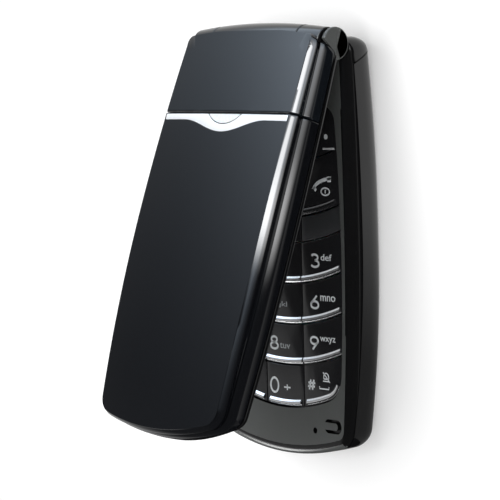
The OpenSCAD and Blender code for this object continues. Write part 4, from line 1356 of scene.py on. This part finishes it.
class PHONE_OT_stage(bpy.types.Operator):
    """Pale floor, studio light and camera"""

    bl_idname = "phone.stage"
    bl_label = "Stage"

    def execute(self, context):
        scene = context.scene
        self.world(scene)
        self.floor()
        self.card()
        self.lamps()
        self.camera(scene)
        scene.view_settings.view_transform = "Standard"
        return {"FINISHED"}

    def world(self, scene):
        """Dark room, white for the camera, with the lights that the gloss surfaces mirror."""
        world = bpy.data.worlds.new("studio")
        scene.world = world
        world.use_nodes = True
        tree = world.node_tree
        tree.nodes.clear()
        ray = add(tree, "ShaderNodeTexCoord")
        kind = add(tree, "ShaderNodeLightPath")
        mirror = add(tree, "ShaderNodeMath", {0: (kind, "Is Glossy Ray"), 1: (kind, "Is Transmission Ray")},
                     operation="MAXIMUM")

        # a cool window behind the head end, brightest low down
        window = add(tree, "ShaderNodeVectorMath", {0: (ray, "Generated"), 1: (0, 14.5, 6.58)},
                     operation="DOT_PRODUCT")
        for operation, value in (("ADD", -9.36), ("EXPONENT", 0.0), ("MINIMUM", 2.6)):
            window = add(tree, "ShaderNodeMath", {0: (window, "Value"), 1: value}, operation=operation)
        window = add(tree, "ShaderNodeMath", {0: (window, "Value"), 1: (mirror, "Value")},
                     operation="MULTIPLY")

        # two strips of light that end before the foot; the broad one is dimmer at the head
        along = add(tree, "ShaderNodeVectorMath", {0: (ray, "Generated"), 1: (0, 0.943, -0.332)},
                    operation="DOT_PRODUCT")
        lights = []
        for way, start, end, power, bright, dark_end, full_end, at_head in (
                ((0.32, 0.45, 0.84), 0.918, 0.965, 1.0, 19.0, 0.080, 0.158, 1.0),
                ((0.72, 0.36, 0.59), 0.58, 0.98, 2.2, 10.5, 0.070, 0.150, 0.37)):
            near = add(tree, "ShaderNodeVectorMath", {0: (ray, "Generated"), 1: way}, operation="DOT_PRODUCT")
            near = add(tree, "ShaderNodeMapRange",
                       {"From Min": start, "From Max": end, "Value": (near, "Value")},
                       interpolation_type="SMOOTHSTEP" if power == 1.0 else "LINEAR")
            near = add(tree, "ShaderNodeMath", {0: (near, "Result"), 1: power}, operation="POWER")
            foot = add(tree, "ShaderNodeMapRange", {"From Min": dark_end, "From Max": full_end,
                                                    "To Max": bright, "Value": (along, "Value")},
                       interpolation_type="SMOOTHSTEP")
            head = add(tree, "ShaderNodeMapRange", {"From Min": 0.172, "From Max": 0.206, "To Min": 1.0,
                                                    "To Max": at_head, "Value": (along, "Value")})
            for fade in (foot, head):
                near = add(tree, "ShaderNodeMath", {0: (near, "Value"), 1: (fade, "Result")},
                           operation="MULTIPLY")
            lights.append((near, "Value"))

        # pale walls low on the left, and the open side under the lid's foot: broad, and one sharp glint
        for way, start, end, dark, bright in (((-0.9, 0.1, -0.35), 0.55, 0.9, 0.05, 0.75),
                                              ((-0.8, -0.25, 0.55), 0.89, 0.99, 0.0, 0.34),
                                              ((-0.77, -0.47, 0.42), 0.985, 0.999, 0.0, 9.0)):
            near = add(tree, "ShaderNodeVectorMath", {0: (ray, "Generated"), 1: way}, operation="DOT_PRODUCT")
            near = add(tree, "ShaderNodeMapRange",
                       {"From Min": start, "From Max": end, "To Min": dark, "To Max": bright,
                        "Value": (near, "Value")}, interpolation_type="SMOOTHSTEP")
            lights.append((near, "Result"))
        room = lights[0]
        for light in lights[1:]:
            room = (add(tree, "ShaderNodeMath", {0: room, 1: light}, operation="ADD"), "Value")

        seen = add(tree, "ShaderNodeMix", {"A": 0.62, "B": room, "Factor": (mirror, "Value")})
        level = add(tree, "ShaderNodeMix",
                    {"A": (seen, "Result"), "B": 1.0, "Factor": (kind, "Is Camera Ray")})
        light = add(tree, "ShaderNodeBackground", {"Color": (1, 1, 1, 1), "Strength": (level, "Result")})
        cool = add(tree, "ShaderNodeBackground",
                   {"Color": (0.86, 1.0, 1.17, 1), "Strength": (window, "Value")})
        both = add(tree, "ShaderNodeAddShader", {0: (light, "Background"), 1: (cool, "Background")})
        add(tree, "ShaderNodeOutputWorld", {"Surface": (both, "Shader")})

    def floor(self):
        """White paper sweep under the phone; it fades into the white room at its rim."""
        bm = bmesh.new()
        bmesh.ops.create_circle(bm, cap_ends=True, segments=96, radius=160)
        floor = new_object(bm, "floor")
        made = start_material("white_paper_sweep", Base_Color=linear("#dcdcdc"), Roughness=0.9,
                              Specular_IOR_Level=0.0, Emission_Color=(1, 1, 1, 1), Emission_Strength=0.3)
        tree = made.tree
        distance = add(tree, "ShaderNodeVectorMath", {0: (made.place, "Object")}, operation="LENGTH")
        rim = add(tree, "ShaderNodeMapRange",
                  {"From Min": 0.07, "From Max": 0.15, "Value": (distance, "Value")},
                  interpolation_type="SMOOTHSTEP")
        clear = add(tree, "ShaderNodeBsdfTransparent")
        kind = add(tree, "ShaderNodeLightPath")
        along = add(tree, "ShaderNodeSeparateXYZ", {0: (made.place, "Object")})
        glow = add(tree, "ShaderNodeMapRange",
                   {"From Min": -0.03, "From Max": 0.01, "To Min": 0.25, "Value": (along, "Y")},
                   interpolation_type="SMOOTHSTEP")
        white = add(tree, "ShaderNodeEmission", {"Color": (1, 1, 1, 1), "Strength": (glow, "Result")})
        paper = add(tree, "ShaderNodeMixShader",
                    {"Fac": (kind, "Is Glossy Ray"), 1: (made.shader, "BSDF"), 2: (white, "Emission")})
        mix = add(tree, "ShaderNodeMixShader",
                  {"Fac": (rim, "Result"), 1: (paper, "Shader"), 2: (clear, "BSDF")})
        output = next(n for n in tree.nodes if n.type == "OUTPUT_MATERIAL")
        tree.links.new(mix.outputs["Shader"], output.inputs["Surface"])
        floor.data.materials.append(made.material)

    def card(self):
        """Card beside the phone, black near it and grey further out, there only for its reflection."""
        beside = block((31, -85, 0.2), (95, 85, 0.4))
        before = block((-60, -110, 0.2), (31, -46.5, 0.4))
        card = new_object(joined([beside, before]), "card")
        made = start_material("two_tone_card", Roughness=0.9, Specular_IOR_Level=0.0)
        across = add(made.tree, "ShaderNodeSeparateXYZ", {0: (made.place, "Object")})
        tone = add(made.tree, "ShaderNodeMapRange", {"From Min": 0.055, "From Max": 0.075, "To Min": 0.006,
                                                     "To Max": 0.45, "Value": (across, "X")})
        made.tree.links.new(tone.outputs["Result"], made.shader.inputs["Base Color"])
        card.data.materials.append(made.material)
        card.visible_camera = card.visible_diffuse = card.visible_shadow = card.visible_transmission = False

    def lamps(self):
        """Two softboxes, which light the phone but show in no reflection."""
        for name, place, size, power in (("key_softbox", (-0.15, 0.1, 0.45), 0.35, 1.6),
                                         ("fill_softbox", (0.3, -0.35, 0.3), 0.3, 0.9)):
            lamp = bpy.data.lights.new(name, "AREA")
            lamp.size = size
            lamp.energy = power
            holder = bpy.data.objects.new(name, lamp)
            holder.location = place
            holder.rotation_euler = (-Vector(place)).to_track_quat("-Z", "Y").to_euler()
            holder.visible_glossy = False
            holder.visible_camera = False
            bpy.context.scene.collection.objects.link(holder)

    def camera(self, scene):
        """Camera at the photograph's place: above the phone's left foot corner, a long lens."""
        azimuth, elevation, roll = (math.radians(a) for a in (95.709, 38.881, -1.4588))
        target = Vector((-6.2946, -3.1774, 12.0921)) / MM
        back = Vector((math.sin(azimuth) * math.cos(elevation), -math.cos(azimuth) * math.cos(elevation),
                       math.sin(elevation)))
        across = (-back).cross(Vector((0, 1, 0))).normalized()
        above = across.cross(-back)
        right = across * math.cos(roll) + above * math.sin(roll)
        up = above * math.cos(roll) - across * math.sin(roll)
        data = bpy.data.cameras.new("camera")
        data.lens = 208.66
        data.sensor_width = 36
        data.clip_start = 0.01
        data.clip_end = 10
        camera = bpy.data.objects.new("camera", data)
        camera.matrix_world = Matrix.Translation(target + back * 0.6) @ Matrix(
            (right, up, back)).transposed().to_4x4()
        scene.collection.objects.link(camera)
        scene.camera = camera


class PHONE_PT_panel(bpy.types.Panel):
    """Lists the phone's pieces in the sidebar"""

    bl_label = "Folding phone"
    bl_idname = "PHONE_PT_panel"
    bl_space_type = "VIEW_3D"
    bl_region_type = "UI"
    bl_category = "Phone"

    def draw(self, context):
        for group in (context.scene.phone_sizes, context.scene.phone_colours):
            for name in group.bl_rna.properties.keys():
                if name not in ("rna_type", "name"):
                    self.layout.prop(group, name)
        for operator in OPERATORS:
            self.layout.operator(operator.bl_idname)


OPERATORS = (
    PHONE_OT_front_shell, PHONE_OT_rear_shell, PHONE_OT_number_keys, PHONE_OT_function_keys,
    PHONE_OT_navigation, PHONE_OT_dividers, PHONE_OT_key_prints, PHONE_OT_lid_covers, PHONE_OT_lid_trim,
    PHONE_OT_lid_frame, PHONE_OT_display, PHONE_OT_small_parts, PHONE_OT_stage,
)
CLASSES = (PhoneSizes, PhoneColours) + OPERATORS + (PHONE_PT_panel,)


def register():
    for each in CLASSES:
        bpy.utils.register_class(each)
    bpy.types.Scene.phone_sizes = bpy.props.PointerProperty(type=PhoneSizes)
    bpy.types.Scene.phone_colours = bpy.props.PointerProperty(type=PhoneColours)


def unregister():
    del bpy.types.Scene.phone_sizes
    del bpy.types.Scene.phone_colours
    for each in reversed(CLASSES):
        bpy.utils.unregister_class(each)


def main():
    register()
    for operator in OPERATORS:
        group, name = operator.bl_idname.split(".")
        getattr(getattr(bpy.ops, group), name)()


if __name__ == "__main__":
    main()
